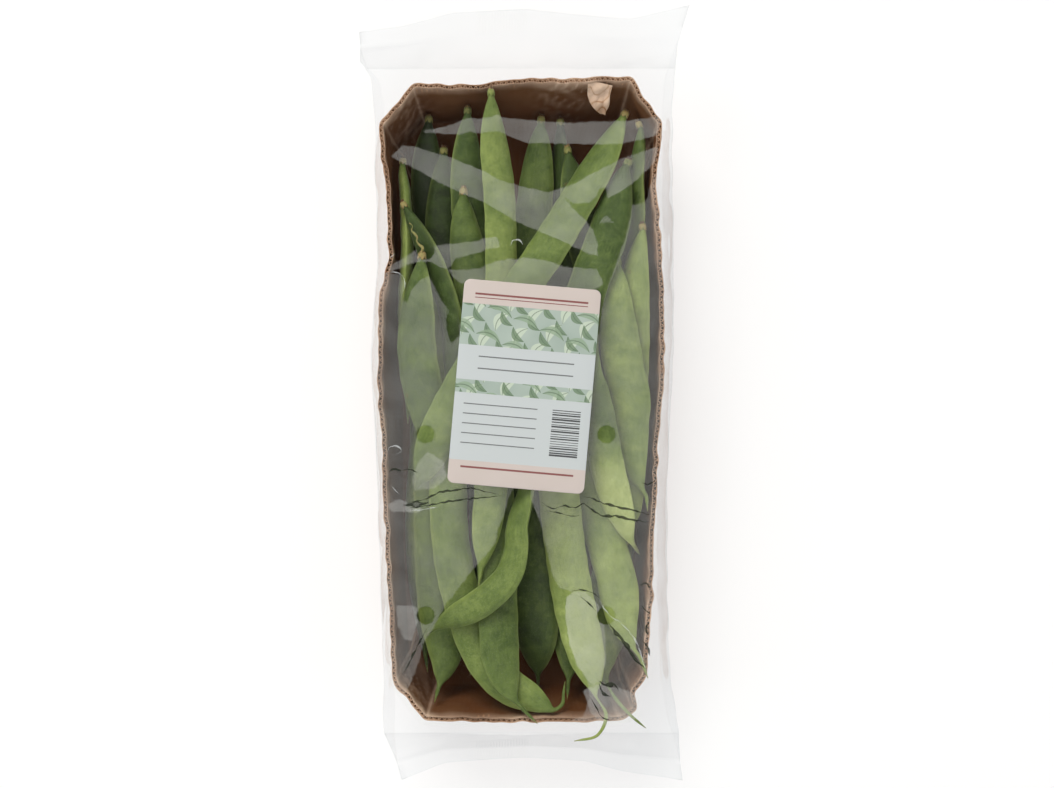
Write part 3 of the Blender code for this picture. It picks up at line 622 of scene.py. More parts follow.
def make_pod(seed, made):
    """One pod as a closed skin with its calyx, and for one of them the dried stalk that curls from it."""
    name = f"bean_{seed + 1:02d}"
    line = pod_line(name)
    body, seam, turn = pod_body(line, seed)
    rows = len(body)
    run = line["run"][:, None] + 0 * turn
    girth = run_along(body[rows // 2])
    brown = 0.6 + 2.4 * (0.5 + 0.5 * math.sin(7.3 * seed)) ** 2
    stem = smoothstep((brown + 1.2 - run) / 2.4)
    beak = 0.42 * smoothstep((run - run[-1] + 7) / 8)
    points = [body.reshape(-1, 3), body[0].mean(axis=0)[None], body[-1].mean(axis=0)[None]]
    faces = lattice_faces(rows, POD_SIDES, joined=True)
    last = rows * POD_SIDES
    faces += fan_faces(np.arange(POD_SIDES), last, turned=True)
    faces += fan_faces(last - POD_SIDES + np.arange(POD_SIDES), last + 1)
    uv = [np.stack([run, girth + 0 * run], axis=2).reshape(-1, 2), np.zeros((2, 2))]
    seams = [seam.ravel(), np.zeros(2)]
    dry = [np.maximum(stem, beak).ravel(), (1.0, 0.45)]
    extras = [(calyx(line, seed), True, 0.24 + 0.3 * (0.5 + 0.5 * math.sin(3.1 * seed)))]
    if name == STALKED_POD:
        flat = np.array(PEDICEL, float)
        at = run_along(flat)
        fine = np.linspace(0, at[-1], 60)
        height = line["centre"][0, 2] + 0.4 * np.sin(fine * 0.9) + 0.02 * fine
        path = np.c_[through(at, flat, fine), height]
        extras.append((tube(path, 0.6 + 0.14 * np.sin(fine * 0.8) - 0.02 * fine, 10), False, 0.42))
    start = last + 2
    for rings, looped, dryness in extras:
        count, sides = rings.shape[:2]
        faces += lattice_faces(count, sides, joined=True, first=start)
        points.append(rings.reshape(-1, 3))
        if looped:
            ends = start + np.arange(sides)
            back = ends + (count - 1) * sides
            faces += np.stack([back, np.roll(back, -1), np.roll(ends, -1), ends], axis=1).tolist()
            added = count * sides
        else:
            faces += fan_faces(start + np.arange(sides), start + count * sides, turned=True)
            faces += fan_faces(start + (count - 1) * sides + np.arange(sides), start + count * sides + 1)
            points += [rings[0].mean(axis=0)[None], rings[-1].mean(axis=0)[None]]
            added = count * sides + 2
        uv.append(np.zeros((added, 2)))
        seams.append(np.zeros(added))
        dry.append(np.full(added, dryness))
        start += added
    points = np.concatenate(points)
    # Painted shade: pods are painted darker the lower they lie in the tray.
    painted_low_shade = LOW_SHADE_PAINT * smoothstep((LOW_SHADE_Z[1] - points[:, 2]) / (LOW_SHADE_Z[1] - LOW_SHADE_Z[0]))
    tone_and_shade = POD_TONES[seed] - painted_low_shade
    if name == PALING_POD:
        tone_and_shade += PALING * smoothstep((PALING_Y[0] - points[:, 1]) / (PALING_Y[0] - PALING_Y[1]))
    marks = {"seam": np.concatenate(seams), "dry": np.concatenate(dry), "tone_and_shade": tone_and_shade}
    uv = np.concatenate(uv) * MM
    pod = make_piece(name.replace("bean", "pod"), points, faces, made, uv=uv, marks=marks)
    dress(pod, "bean_skin", name)
    return body


skin = bean_skin()
pod_skins = [make_pod(number, skin) for number in range(len(POD_TONES))]


# Film sleeve
# One tube of clear polypropylene film, stretched over the tray's rim and the beans, and crimped shut at
# both ends. Nine air holes are punched through its upper side. It creases where it's pulled, and its ends
# carry fine ribs.
FILM_LEFT = [(-184, -58), (-172, -61), (-157, -65), (-133, -65), (-100, -66), (-40, -68), (20, -71),
             (60, -68), (130, -69), (147, -71), (160, -77), (184, -78)]
FILM_RIGHT = [(-184, 75), (-160, 72), (-136, 68), (-104, 66), (-40, 66), (25, 69), (60, 69), (125, 68),
              (147, 69), (165, 72), (184, 78)]
TOP_EDGE = [(-78, 171), (-58, 174), (-34, 181), (0, 182), (20, 180), (50, 178), (78, 183.9)]
BOTTOM_EDGE = [(-60, -182.9), (-48, -178), (-38, -174), (0, -172), (28, -173), (46, -178), (75, -182.9)]
TOP_FOLD, BOTTOM_FOLD = 150.0, -156.0
FILM_END = 184
FILM_STEP = 1.25
FILM_COLUMNS = 120
SIDE_COLUMNS = 7
UNDER_COLUMNS = 24
FILM_THICKNESS = 0.12
FIN_HEIGHT = 14.0
FIN_WAVE = 2.2
FIN_WAVE_LENGTH = 13.0
FIN_DROP = 0.66
SIDE_BULGE = 2.0
CRIMP_BAND = 11.5
CRIMP_PITCH = 1.35
BACK_SEAM = (-23.0, 1.6)
HOLE_RADIUS = 4.1
HOLE_COLUMNS = (-45.5, -3.9, 37.7)
HOLE_ROWS = (66.3, -18.3, -101.9)
HOLE_CELLS = 3
FILM_LEVEL_Z = RIM_Z + 0.6
MAP_LOW = np.array([-90.0, -190.0])
MAP_CELLS = (145, 305)
MAP_ROUNDS = 2600
MAP_BLURS = 7
RIM_POINTS = 1800
FAR = 20.0
LABEL_SIZE = (63.0, 94.0)
LABEL_CENTRE = (-0.1, 3.7)
LABEL_TURN = math.radians(-5)

# Creases: the points each runs through, how high it stands and how wide it is
CREASES = [
    ([(-55, -50), (-48, -50.5), (-38, -46), (-14, -47)], 0.7, 1.6),
    ([(7, -49), (23, -53.5), (27, -49.5), (44, -53.5), (59, -57)], 0.7, 1.6),
    ([(-63, -24), (-60, -27), (-57, -25), (-58, -28.5)], 0.5, 1.2),
    ([(-45, -107), (-50, -119), (-56, -130)], 0.6, 1.4),
    ([(39, -102), (47, -112), (57, -128)], 0.8, 1.8),
    ([(53, -88), (58, -93), (54, -99), (58, -104), (54, -109), (57, -115)], 0.7, 1.3),
]

# Painted reflection: outlines seen from above, inside which the film's mirror strength is raised to paint in
# the overhead panel's reflection, as if the film lay square to the panel there. Inside the first, the
# patches of the second list are left out. The third list paints stronger gleams of the panel, for both plies
# of a fold
PAINTED_HAZE_AREAS = [
    [(-71.5, 56.5), (-57, 55.5), (-55.5, 51.5), (-56.5, 43.5), (-54, 42), (-52, 48.5), (-49, 51.5),
     (-44.5, 54.5), (-42, 51), (-38.5, 43.5), (-32, 35.5), (-27, 31.5), (16.5, 23), (34, 27.5),
     (35.5, 38), (38, 48.5), (42.5, 61), (46.5, 71.5), (49, 83), (50, 87.5), (56, 88.5), (58, 95.5),
     (61, 103), (90, 106), (90, -200), (-90, -200)],
]
HAZE_GAPS = [
    [(-3.5, -39.5), (-7.5, -48.5), (-9.5, -55.5), (-12, -61.5), (-13, -67.5), (-17, -73), (-22.5, -79),
     (-27, -85), (-31.5, -91), (-36, -96), (-38.5, -100.5), (-42, -108), (-46.5, -114.5), (-48.5, -122.5),
     (-52.5, -133.5), (-55.5, -138.5), (-46.5, -151.5), (-11.5, -153), (16.5, -152), (27, -148.5),
     (30, -140), (29.5, -132.5), (24.5, -125), (21, -115.5), (19, -104), (19, -94), (22.5, -91),
     (16.5, -89.5), (13, -83), (11.5, -76.5), (9.5, -68), (7.5, -59), (5.5, -54.5), (3, -48.5),
     (3, -39.5)],
    [(-36, 39), (-30.5, 33.5), (-29.5, 27.5), (-33.5, 23), (-36, 30)],
]
PAINTED_GLEAMS = [
    [(-50, 121.5), (-39, 123), (-32, 125), (-26, 127.5), (-21.5, 127), (-16, 128), (-12, 129),
     (-10, 127.5), (-2, 127), (9.5, 126), (21, 125.5), (35, 126), (48.5, 126.5), (63.5, 128.5),
     (61.5, 120), (53.5, 117.5), (46.5, 116), (38.5, 115.5), (28, 115.5), (9.5, 116), (1.5, 116),
     (-6.5, 119), (-12, 121.5), (-21.5, 120.5), (-25, 121.5), (-30.5, 120), (-39, 120.5)],
    [(-61.5, 110), (-56, 115), (-52, 114.5), (-43.5, 112), (-34.5, 109.5), (-25, 105.5), (-18, 102.5),
     (-11.5, 99), (-2, 96), (5, 94.5), (12, 93), (17.5, 95.5), (19, 90), (22, 86), (25.5, 82.5),
     (29.5, 79), (32, 75), (33.5, 70), (35, 64), (30.5, 64.5), (24.5, 67), (18.5, 70), (12, 73), (5, 76),
     (-4.5, 80), (-11.5, 84.5), (-18, 88.5), (-25, 91), (-30.5, 93.5), (-39, 97.5), (-48.5, 103),
     (-57.5, 107.5)],
    [(16.5, 94.5), (23.5, 97.5), (30.5, 101.5), (39.5, 106), (46.5, 109.5), (53.5, 112), (62, 114.5),
     (60, 107), (55.5, 102.5), (50, 97.5), (45, 94), (38.5, 90.5), (37.5, 95.5), (35, 95.5), (33, 91),
     (30.5, 88.5), (23.5, 88), (19.5, 90)],
    [(33.5, 78), (36, 81), (38, 82.5), (41, 79.5), (37.5, 79.5)],
    [(-63, 57.5), (-61, 60), (-55, 63), (-51, 66), (-46.5, 67.5), (-36.5, 69), (-30, 69.5), (-21.5, 70.5),
     (-17, 72), (-13, 72.5), (-11.5, 70), (-11.5, 67.5), (-16, 67), (-20.5, 65.5), (-26, 64), (-32, 62.5),
     (-33.5, 59.5), (-36, 57.5), (-40, 59.5), (-43.5, 61), (-49, 61), (-55, 59.5), (-61, 56.5)],
    [(-36, 58), (-30, 57), (-20.5, 58), (-13.5, 61), (-9, 62), (-2, 63), (5, 62.5), (12, 61),
     (18.5, 58.5), (33.5, 57.5), (36.5, 50.5), (30.5, 47.5), (-30, 51)],
    [(-59, -97.5), (-50.5, -97.5), (-48.5, -100.5), (-49, -105), (-52, -113.5), (-55.5, -113.5),
     (-58.5, -106.5)],
    [(19, -94), (22.5, -91), (28, -91), (34, -96.5), (36.5, -104), (37.5, -115.5), (37.5, -123.5),
     (35, -132), (32, -133.5), (29.5, -132.5), (24.5, -125), (21, -115.5), (19, -104)],
    [(-52, -39.5), (-49, -31), (-44.5, -26.5), (-36.5, -31), (-36, -38.5), (-41, -43), (-50.5, -44)],
    [(27, -136.5), (35, -133.5), (48, -136.5), (53.5, -141), (50.5, -151.5), (35, -152), (30.5, -146.5)],
    [(-64, -51), (-57.5, -48.5), (-46.5, -52.5), (-48.5, -54.5), (-61, -54)],
]

# Pleats, where the film is doubled over itself and seen edge on: width and the points each runs through.
# Those of the first list are painted near black, as painted shade, and those of the second near white, as
# painted glints
PLEATS_PAINTED_DARK = [
    (1.0, [(-55.5, -51), (-52, -49.5), (-46.5, -48.5), (-39, -45), (-32, -44), (-25, -43), (-18, -44.5),
           (-11.5, -46)]),
    (2.6, [(-56, -51), (-53, -50.8), (-49, -50.6), (-46, -50.2), (-44, -49.5)]),
    (0.9, [(-55.5, -51), (-52, -52), (-46.5, -51.5), (-39, -50), (-30, -48.5), (-20.5, -47.5),
           (-10, -46.5)]),
    (1.2, [(26.5, -47), (30.5, -47.5), (35, -49.5), (42, -51.5), (51, -53.5), (58, -55.5)]),
    (1.4, [(26.5, -50), (30.5, -52.5), (35, -55.5), (42, -56), (51, -58), (58, -59)]),
    (0.7, [(7, -49), (14, -52.5), (17.5, -51), (23.5, -52), (27, -50), (30.5, -52.5)]),
    (0.6, [(9.5, -53.5), (16.5, -54.5), (22, -56), (25.5, -55.5)]),
    (1.4, [(-62.5, -35.5), (-60.5, -34.5), (-56.5, -35.5)]),
    (0.6, [(-56.5, -35), (-53, -34.5), (-49, -36)]),
    (0.9, [(-45, -108), (-48.5, -114.5), (-52, -121.5), (-56, -129.5)]),
    (2.2, [(38.5, -105), (42, -109.5), (47, -115.5), (51.5, -122.5), (56, -126.5)]),
    (0.6, [(21, -91), (25.5, -90), (30.5, -91), (35, -94)]),
    (0.6, [(25.5, -93), (30.5, -97), (33.5, -100.5)]),
    (1.1, [(53.5, -88.5), (56, -87), (58, -89.5)]),
    (0.8, [(53.5, -97), (56, -99.5), (58, -101.5)]),
    (1.4, [(57.5, -105), (56, -108), (57, -111)]),
    (1.2, [(55, -114), (57, -117), (58, -120.5)]),
    (0.6, [(53.5, -40.5), (57, -41.5), (60.5, -39.5)]),
    (1.8, [(34, -132), (37.5, -134), (41, -133.5), (43.5, -136.5)]),
    (1.2, [(34.5, -133), (36, -137.5), (40, -139.5)]),
    (0.6, [(30, -139), (33, -144), (36, -149), (42, -150.5)]),
]
PLEATS_PAINTED_BRIGHT = [
    (0.7, [(-6.5, 68.5), (-5, 71), (-2.5, 71), (-0.5, 68.5)]),
    (0.7, [(-63.5, -26.5), (-61.5, -24), (-58.5, -24), (-56.5, -26), (-59.5, -27.5)]),
    (0.5, [(-61, -42.5), (-58, -46)]),
    (0.5, [(-65, 55.5), (-60.5, 56.5), (-56.5, 55), (-55, 51.5), (-56, 46.5)]),
    (0.5, [(-62, 63), (-59.5, 65)]),
    (0.6, [(-55.5, -53.5), (-46.5, -53), (-39, -51.5)]),
    (0.5, [(34, -94), (37.5, -99.5), (41.5, -103.5), (45, -105)]),
    (0.6, [(42.5, -103.5), (48.5, -109.5), (52.5, -116), (54.5, -122.5), (56.5, -129.5)]),
]
PLEAT_STEP = 0.8

# How much of the mirror image the film shows, against one clean face: everywhere, and added by the painted
# haze and by a painted gleam, both painted reflection. The last number is for film seen at a slant
FILM_CLEAR, FILM_PAINTED_HAZE, FILM_PAINTED_GLEAM = 0.06, 1.6, 2.2
SLANT_MIRROR = 0.32
FILM_INDEX = 1.49

# The share of the film's slopes that counts in what it mirrors, as taut film is flatter than the pods
SLOPE_SHARE = 0.3


def between(at, known):
    """The second number of a list of pairs where the first is `at`, in straight runs between the pairs."""
    known = np.array(known, float)
    return np.interp(at, known[:, 0], known[:, 1])


def end_edge(x, y):
    """Where the film's cut edge is on y, at the top end where `y` is above 0, and else at the bottom end."""
    return np.where(y > 0, between(x, TOP_EDGE), between(x, BOTTOM_EDGE))


def fin_height(x, y):
    """The height at which a crimped end stands out: a low sine wave along its edge."""
    return FIN_HEIGHT + FIN_WAVE * np.sin(x / FIN_WAVE_LENGTH + np.sign(y))


def film_plan():
    """Where the points of the film's upper side are from above, and how far out along an end a row is."""
    across = np.linspace(-1, 1, FILM_COLUMNS)
    body = np.linspace(BOTTOM_FOLD, TOP_FOLD, int((TOP_FOLD - BOTTOM_FOLD) / FILM_STEP))
    out = np.linspace(0, 1, int((FILM_END - TOP_FOLD) / FILM_STEP))[1:]
    fold = np.r_[np.full(len(out), BOTTOM_FOLD), body, np.full(len(out), TOP_FOLD)]
    share = np.r_[out[::-1], 0 * body, out]
    reach = fold + share * (np.sign(fold) * FILM_END - fold)
    left, right = between(reach, FILM_LEFT), between(reach, FILM_RIGHT)
    x = (left + right)[:, None] / 2 + across * (right - left)[:, None] / 2
    edge = end_edge(x, fold[:, None])
    y = fold[:, None] + share[:, None] * (edge - fold[:, None])
    return x, y, share[:, None], (1 - share[:, None]) * np.abs(edge - fold[:, None])


def punched(x, y):
    """The points moved so that a square of cells round each hole's centre is a circle, and which cells go.

    In cells, a point m out from the centre in the larger of its two directions moves to the same bearing
    at the hole's radius plus the cells left over, and back to its own place a few cells further out.
    """
    gone = np.zeros(np.array(x.shape) - 1, bool)
    i, j = np.meshgrid(np.arange(x.shape[0]), np.arange(x.shape[1]), indexing="ij")
    for cx in HOLE_COLUMNS:
        for cy in HOLE_ROWS:
            ci, cj = np.unravel_index(np.argmin((x - cx) ** 2 + (y - cy) ** 2), x.shape)
            p, q = (j - cj).astype(float), (i - ci).astype(float)
            ring, away = np.maximum(np.abs(p), np.abs(q)), np.hypot(p, q).clip(1e-6)
            radius = HOLE_RADIUS + (ring - HOLE_CELLS) * FILM_STEP
            hold = 1 - smoothstep((ring - HOLE_CELLS) / 6)
            x = x + hold * (cx + p / away * radius - x)
            y = y + hold * (cy + q / away * radius - y)
            gone[ci - HOLE_CELLS:ci + HOLE_CELLS, cj - HOLE_CELLS:cj + HOLE_CELLS] = True
    return x, y, gone


def label_frame(x, y):
    """A point's place on the label, along its width and its height from its middle."""
    dx, dy = x - LABEL_CENTRE[0], y - LABEL_CENTRE[1]
    return (dx * math.cos(LABEL_TURN) + dy * math.sin(LABEL_TURN),
            dy * math.cos(LABEL_TURN) - dx * math.sin(LABEL_TURN))


def near_line(x, y, points):
    """The distance from each point to a path of straight runs."""
    best = np.full(x.shape, 1e9)
    for (x0, y0), (x1, y1) in zip(points, points[1:]):
        dx, dy = x1 - x0, y1 - y0
        share = np.clip(((x - x0) * dx + (y - y0) * dy) / (dx * dx + dy * dy), 0, 1)
        best = np.minimum(best, np.hypot(x - x0 - share * dx, y - y0 - share * dy))
    return best


def deepest_inside(x, y, outlines):
    """How far inside the nearest of several closed outlines each point is, in mm, and negative outside."""
    best = np.full(x.shape, -FAR)
    for outline in outlines:
        closed = outline + outline[:1]
        inside = np.zeros(x.shape, bool)
        for (x0, y0), (x1, y1) in zip(closed, closed[1:]):
            crosses = (y0 > y) != (y1 > y)
            inside ^= crosses & ((x - x0) * abs(y1 - y0) < (y - y0) * (x1 - x0) * np.sign(y1 - y0))
        best = np.maximum(best, np.where(inside, 1, -1) * near_line(x, y, closed))
    return best.clip(-FAR, FAR)


def spread_by_one(heights, combine):
    """A map combined with itself moved by one cell each way."""
    for axis in (0, 1):
        heights = combine([np.roll(heights, 1, axis), heights, np.roll(heights, -1, axis)])
    return heights


def stretched_film():
    """A map of the film's height over the pods, the rim and the label's patch.

    A membrane: each free cell is the mean of its four neighbours, and never below what is under it. The
    map is then blurred over a few millimetres, because film that is stiff enough to crackle doesn't bend
    sharply.
    """
    sides = [low + FILM_STEP * np.arange(count) for low, count in zip(MAP_LOW, MAP_CELLS)]
    x, y = np.meshgrid(*sides, indexing="ij")
    high = np.zeros(MAP_CELLS)
    rim = np.c_[resample(RIM_OUTLINE, RIM_POINTS, 1.0)[0], np.full(RIM_POINTS, RIM_Z)]
    cloud = np.concatenate([rim] + [body.reshape(-1, 3) for body in pod_skins])
    cell = np.rint((cloud[:, :2] - MAP_LOW) / FILM_STEP).astype(int)
    np.maximum.at(high, (cell[:, 0], cell[:, 1]), cloud[:, 2])
    high = spread_by_one(high, lambda maps: np.maximum.reduce(maps)) + 0.25
    along, up = label_frame(x, y)
    on_label = (np.abs(along) < LABEL_SIZE[0] / 2) & (np.abs(up) < LABEL_SIZE[1] / 2)
    high = np.where(on_label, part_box("label")[0].z / MM - 0.05, high)
    free = (x > between(y, FILM_LEFT)) & (x < between(y, FILM_RIGHT)) & (y > BOTTOM_FOLD) & (y < TOP_FOLD)
    floor = np.where(free, np.maximum(high, FILM_LEVEL_Z - 0.2), FILM_LEVEL_Z)
    z = floor.copy()
    for _ in range(MAP_ROUNDS):
        mean = (np.roll(z, 1, 0) + np.roll(z, -1, 0) + np.roll(z, 1, 1) + np.roll(z, -1, 1)) / 4
        z = np.where(free, np.maximum(floor, mean), floor)
    for _ in range(MAP_BLURS):
        z = spread_by_one(z, lambda maps: sum(maps) / 3)
    return np.where(on_label | ~free, z, np.maximum(z, high - 0.15))


def height_at(x, y):
    """The stretched film's height at each point, in straight runs between the map's cells."""
    i, j = (np.stack([x, y]) - MAP_LOW[:, None, None]) / FILM_STEP
    i, j = i.clip(0, MAP_CELLS[0] - 1.001), j.clip(0, MAP_CELLS[1] - 1.001)
    i0, j0 = i.astype(int), j.astype(int)
    u, v = i - i0, j - j0
    near = film_map[i0, j0] * (1 - u) + film_map[i0 + 1, j0] * u
    return near * (1 - v) + (film_map[i0, j0 + 1] * (1 - u) + film_map[i0 + 1, j0 + 1] * u) * v


def film_relief(x, y):
    """What pulling and handling does to the stretched film, away from the label: low waves and creases."""
    relief = 0.22 * ripple(x, y, 58, 21) + 0.07 * ripple(x, y, 19, 22)
    for path, height, width in CREASES:
        relief = relief + height * bell(near_line(x, y, path), width)
    along, up = label_frame(x, y)
    off_label = np.maximum(np.abs(along) - LABEL_SIZE[0] / 2, np.abs(up) - LABEL_SIZE[1] / 2)
    return relief * smoothstep(off_label / 7)


def pleats(first):
    """The pleats as thin ribbons lying on the film, ragged along both edges and pointed at both ends."""
    points, faces, marks = [], [], []
    for mark, ribbons in ((0.5, PLEATS_PAINTED_DARK), (1.0, PLEATS_PAINTED_BRIGHT)):
        for width, path in ribbons:
            known = np.array(path, float)
            at = run_along(known)
            run = np.linspace(0, at[-1], int(at[-1] / PLEAT_STEP) + 3)
            line = through(at, known, run)
            wander = [ripple(run, 9 * width, 3.5, 51), ripple(run, 7 * width, 3.5, 52)]
            line = line + 0.18 * np.stack(wander, axis=1)
            pointed = np.sin(np.pi * run / run[-1]).clip(0.04)
            half = width / 2 * pointed * (0.8 + 0.4 * ripple(run, width, 5, 53))
            side = left_of(np.gradient(line, axis=0))
            flat = line[:, None] + np.array([1, -1])[:, None] * (half[:, None] * side)[:, None]
            z = height_at(flat[..., 0], flat[..., 1]) + film_relief(flat[..., 0], flat[..., 1]) + 0.16
            points.append(np.concatenate([flat, z[..., None]], axis=2).reshape(-1, 3))
            faces += lattice_faces(len(run), 2, first=first)
            marks.append(np.full(2 * len(run), mark))
            first += 2 * len(run)
    return np.concatenate(points), faces, np.concatenate(marks)


def clear_film():
    """Clear polypropylene film. Its faces send back a little of the room, more at a slant; crimps whiten.

    The marks on it paint where it mirrors the overhead panel to an eye above, as painted reflection, and
    where it is pleated, with painted shade or painted glints.
    Seen at a slant all of it mirrors alike.
    """
    made = new_material("clear_polypropylene_film")
    place = add_node(made, "TexCoord")
    back = add_node(made, "NewGeometry").outputs["Backfacing"]
    index = maths(made, "MULTIPLY_ADD", back, 1 / FILM_INDEX - FILM_INDEX, FILM_INDEX)
    fresnel = add_node(made, "Fresnel", {"IOR": index})
    crimp, pleat = marked(made, "crimp"), marked(made, "pleat")
    ragged = weighted(made, -0.8, (noise(made, place.outputs["Object"], 260.0, 3.0), 1.6))
    square = FILM_CLEAR
    # Painted reflection: the mirror strength is raised inside the painted haze and gleam outlines.
    for name, strength in (("painted_haze", FILM_PAINTED_HAZE), ("painted_gleam", FILM_PAINTED_GLEAM)):
        inside = ranged(made, maths(made, "ADD", marked(made, name), ragged), (-0.35, 0.35))
        square = weighted(made, square, (inside, strength))
    slant = ranged(made, fresnel, (0.045, 0.1))
    square = mixed(made, slant, square, (SLANT_MIRROR, SLANT_MIRROR, SLANT_MIRROR, 1.0))
    split = add_node(made, "SeparateXYZ", {"Vector": place.outputs["Object"]})
    rib = maths(made, "SINE", product(made, split.outputs["X"], 2 * math.pi / (CRIMP_PITCH * MM)))
    ribbed = product(made, rib, crimp)
    crackle = noise(made, place.outputs["Object"], 70.0, 2.0, roughness=0.4, distortion=0.8)
    facing = add_node(made, "NewGeometry").outputs["Normal"]
    slopes = (SLOPE_SHARE, SLOPE_SHARE, 1.0)
    eased = add_node(made, "VectorMath", {0: facing, 1: slopes}, operation="MULTIPLY")
    eased = add_node(made, "VectorMath", {0: eased}, operation="NORMALIZE")
    bump = bumped(made, weighted(made, crackle, (ribbed, 0.5)), 0.3, 0.08, eased)
    cloud = ranged(made, crackle, (0.25, 0.75), (0.75, 1.25))
    amount = weighted(made, product(made, square, cloud, fresnel), (crimp, 0.04))
    amount = maths(made, "MULTIPLY_ADD", ribbed, 0.03, amount, clamp=True)
    # Painted shade and glints: pleat ribbons are painted near black or near white over the film.
    cover = ramp(made, pleat, (0.0, "#000000"), (1.0, "#8C8C8C"), (0.5, "#D2D2D2"))
    amount = maths(made, "MAXIMUM", amount, cover)
    tint = ramp(made, pleat, (0.0, "#F4F6F7"), (1.0, "#E8ECEC"), (0.12, "#232A1C"), (0.6, "#232A1C"))
    metal = ranged(made, pleat, (0.0, 0.2), (0.9, 0.0))
    glass = add_node(made, "BsdfTransparent", {"Color": (0.985, 0.988, 0.99, 1.0)})
    shine = {"Base Color": tint, "Metallic": metal, "Roughness": 0.08, "Normal": bump}
    shader = add_node(made, "BsdfPrincipled", shine)
    film = add_node(made, "MixShader", {"Fac": amount, 1: glass, 2: shader})
    add_node(made, "OutputMaterial", {"Surface": film})
    return made


def film_side(start, end, swell, shut, down, seed):
    """Points down a side from one edge of the film to another, bowed outwards by `swell` and wavy."""
    points = start[:, None] + down[:, None] * (end - start)[:, None]
    points[..., 0] += swell
    points[..., 0] += 0.5 * smoothstep(1 - shut) * ripple(points[..., 1], points[..., 2], 26, seed)
    return points


def make_film():
    """The sleeve as one tube: over its upper side, down the right, back under the tray and up the left."""
    x, y, share, inset = film_plan()
    fin = fin_height(x, y[:, :1])
    drop = np.clip(share / FIN_DROP, 0, 1) ** 0.8
    body = np.broadcast_to(share == 0, x.shape)
    x, y, gone = punched(x, y)
    floor = np.where(body, height_at(x, y), FILM_LEVEL_Z + drop * (fin + 0.3 - FILM_LEVEL_Z))
    top = floor.copy()
    edges = smoothstep((1 - np.abs(np.linspace(-1, 1, FILM_COLUMNS))) / 0.05)
    pull = np.exp(-np.minimum(np.abs(y - TOP_FOLD), np.abs(y - BOTTOM_FOLD)) / 15)
    gather = pull * (0.35 * ripple(x, y * 0.2, 13, 31) + 0.25 * ripple(x, y * 0.15, 6.5, 32))
    top = top + np.where(body, edges * film_relief(x, y), 0)
    top = top + np.where(body, edges, 1 - drop) * gather
    top = np.where(body, np.maximum(top, floor - 0.2), top)
    slack = (1 - drop) * edges * 0.9 * ripple(x, y, 20, 33)
    top = top + np.where(body, 0, slack)
    half = (x[:, -1:] - x[:, :1]) / 2
    middle = (x[:, -1:] + x[:, :1]) / 2
    shut = np.clip(share / FIN_DROP, 0, 1)
    under_x = np.linspace(1, -1, UNDER_COLUMNS) * (half - 3.5 * (1 - shut)) + middle
    under_y = y[:, [-1]] + np.linspace(0, 1, UNDER_COLUMNS) * (y[:, [0]] - y[:, [-1]])
    edge_y = end_edge(under_x, y[:, :1])
    fold_y = np.where(y[:, :1] > 0, TOP_FOLD, BOTTOM_FOLD)
    under_y = np.where(share > 0, fold_y + share * (edge_y - fold_y), under_y)
    under_fin = fin_height(under_x, under_y) - 0.3
    lift = 1 - (1 - shut) ** 0.7
    under_z = under_fin * lift + 0.12 * (1 - lift)
    seam_rise = smoothstep((under_x - BACK_SEAM[0]) / 2) * smoothstep((BACK_SEAM[1] - under_x) / 2)
    under_z = under_z + 0.15 * seam_rise * (1 - lift)
    down = np.linspace(0, 1, SIDE_COLUMNS + 2)[1:-1]
    swell = SIDE_BULGE * np.sin(np.pi * down) * (1 - shut)
    upper = np.stack([x, y, top], axis=2)
    under = np.stack([under_x, under_y, under_z], axis=2)
    right = film_side(upper[:, -1], under[:, 0], swell, shut, down, 35)
    left = film_side(under[:, -1], upper[:, 0], -swell, shut, down, 36)
    sleeve = np.concatenate([upper, right, under, left], axis=1)
    rows, around = sleeve.shape[:2]
    kept = np.ones((rows - 1, around), bool)
    kept[:, :FILM_COLUMNS - 1] = ~gone
    faces = [face for face, keep in zip(lattice_faces(rows, around, joined=True), kept.ravel()) if keep]
    crimp = smoothstep((CRIMP_BAND - inset) / 1.5) * (share > 0.3)
    seam = (x > BACK_SEAM[0]) & (x < BACK_SEAM[1])
    crimp = crimp * np.where(seam, 1.0, 0.35)
    extra, extra_faces, pleat = pleats(rows * around)
    outside = {"painted_haze": -FAR, "painted_gleam": -FAR, "crimp": 0.0, "pleat": 0.0}
    marks = {key: np.full((rows, around), value) for key, value in outside.items()}
    over_tray = 2 + deepest_inside(x, y, [RIM_OUTLINE])
    # The painted reflection outlines, held inside the tray's rim.
    painted_haze = np.minimum.reduce([over_tray, deepest_inside(x, y, PAINTED_HAZE_AREAS), -deepest_inside(x, y, HAZE_GAPS)])
    marks["painted_haze"][:, :FILM_COLUMNS] = painted_haze
    marks["painted_gleam"][:, :FILM_COLUMNS] = np.minimum(over_tray, deepest_inside(x, y, PAINTED_GLEAMS))
    marks["crimp"][:, :FILM_COLUMNS] = crimp
    marks = {key: np.concatenate([values.ravel(), 0 * pleat]) for key, values in marks.items()}
    marks["pleat"][rows * around:] = pleat
    points = np.concatenate([sleeve.reshape(-1, 3), extra])
    film = make_piece("clear_film_sleeve", points, faces + extra_faces, clear_film(), marks=marks)
    dress(thicken(film, FILM_THICKNESS), "clear_film", "film_sleeve")
    film.visible_shadow = False
    film.visible_diffuse = False


film_map = stretched_film()
make_film()


# Label
# A paper sticker with rounded corners on the film. It's printed with a plain generic design of its own:
# bands of small leaves, white panels with ruled lines, and plain bars.
LABEL_CORNER = 3.0
LABEL_LOOPS = 14
PAPER_THICKNESS = 0.2
CREAM, WHITE = "#D0C4BE", "#C6CCCD"
LEAF_DARK, LEAF_PALE, EARTH_RED, INK = "#66805F", "#C7D3BF", "#7E3434", "#333436"

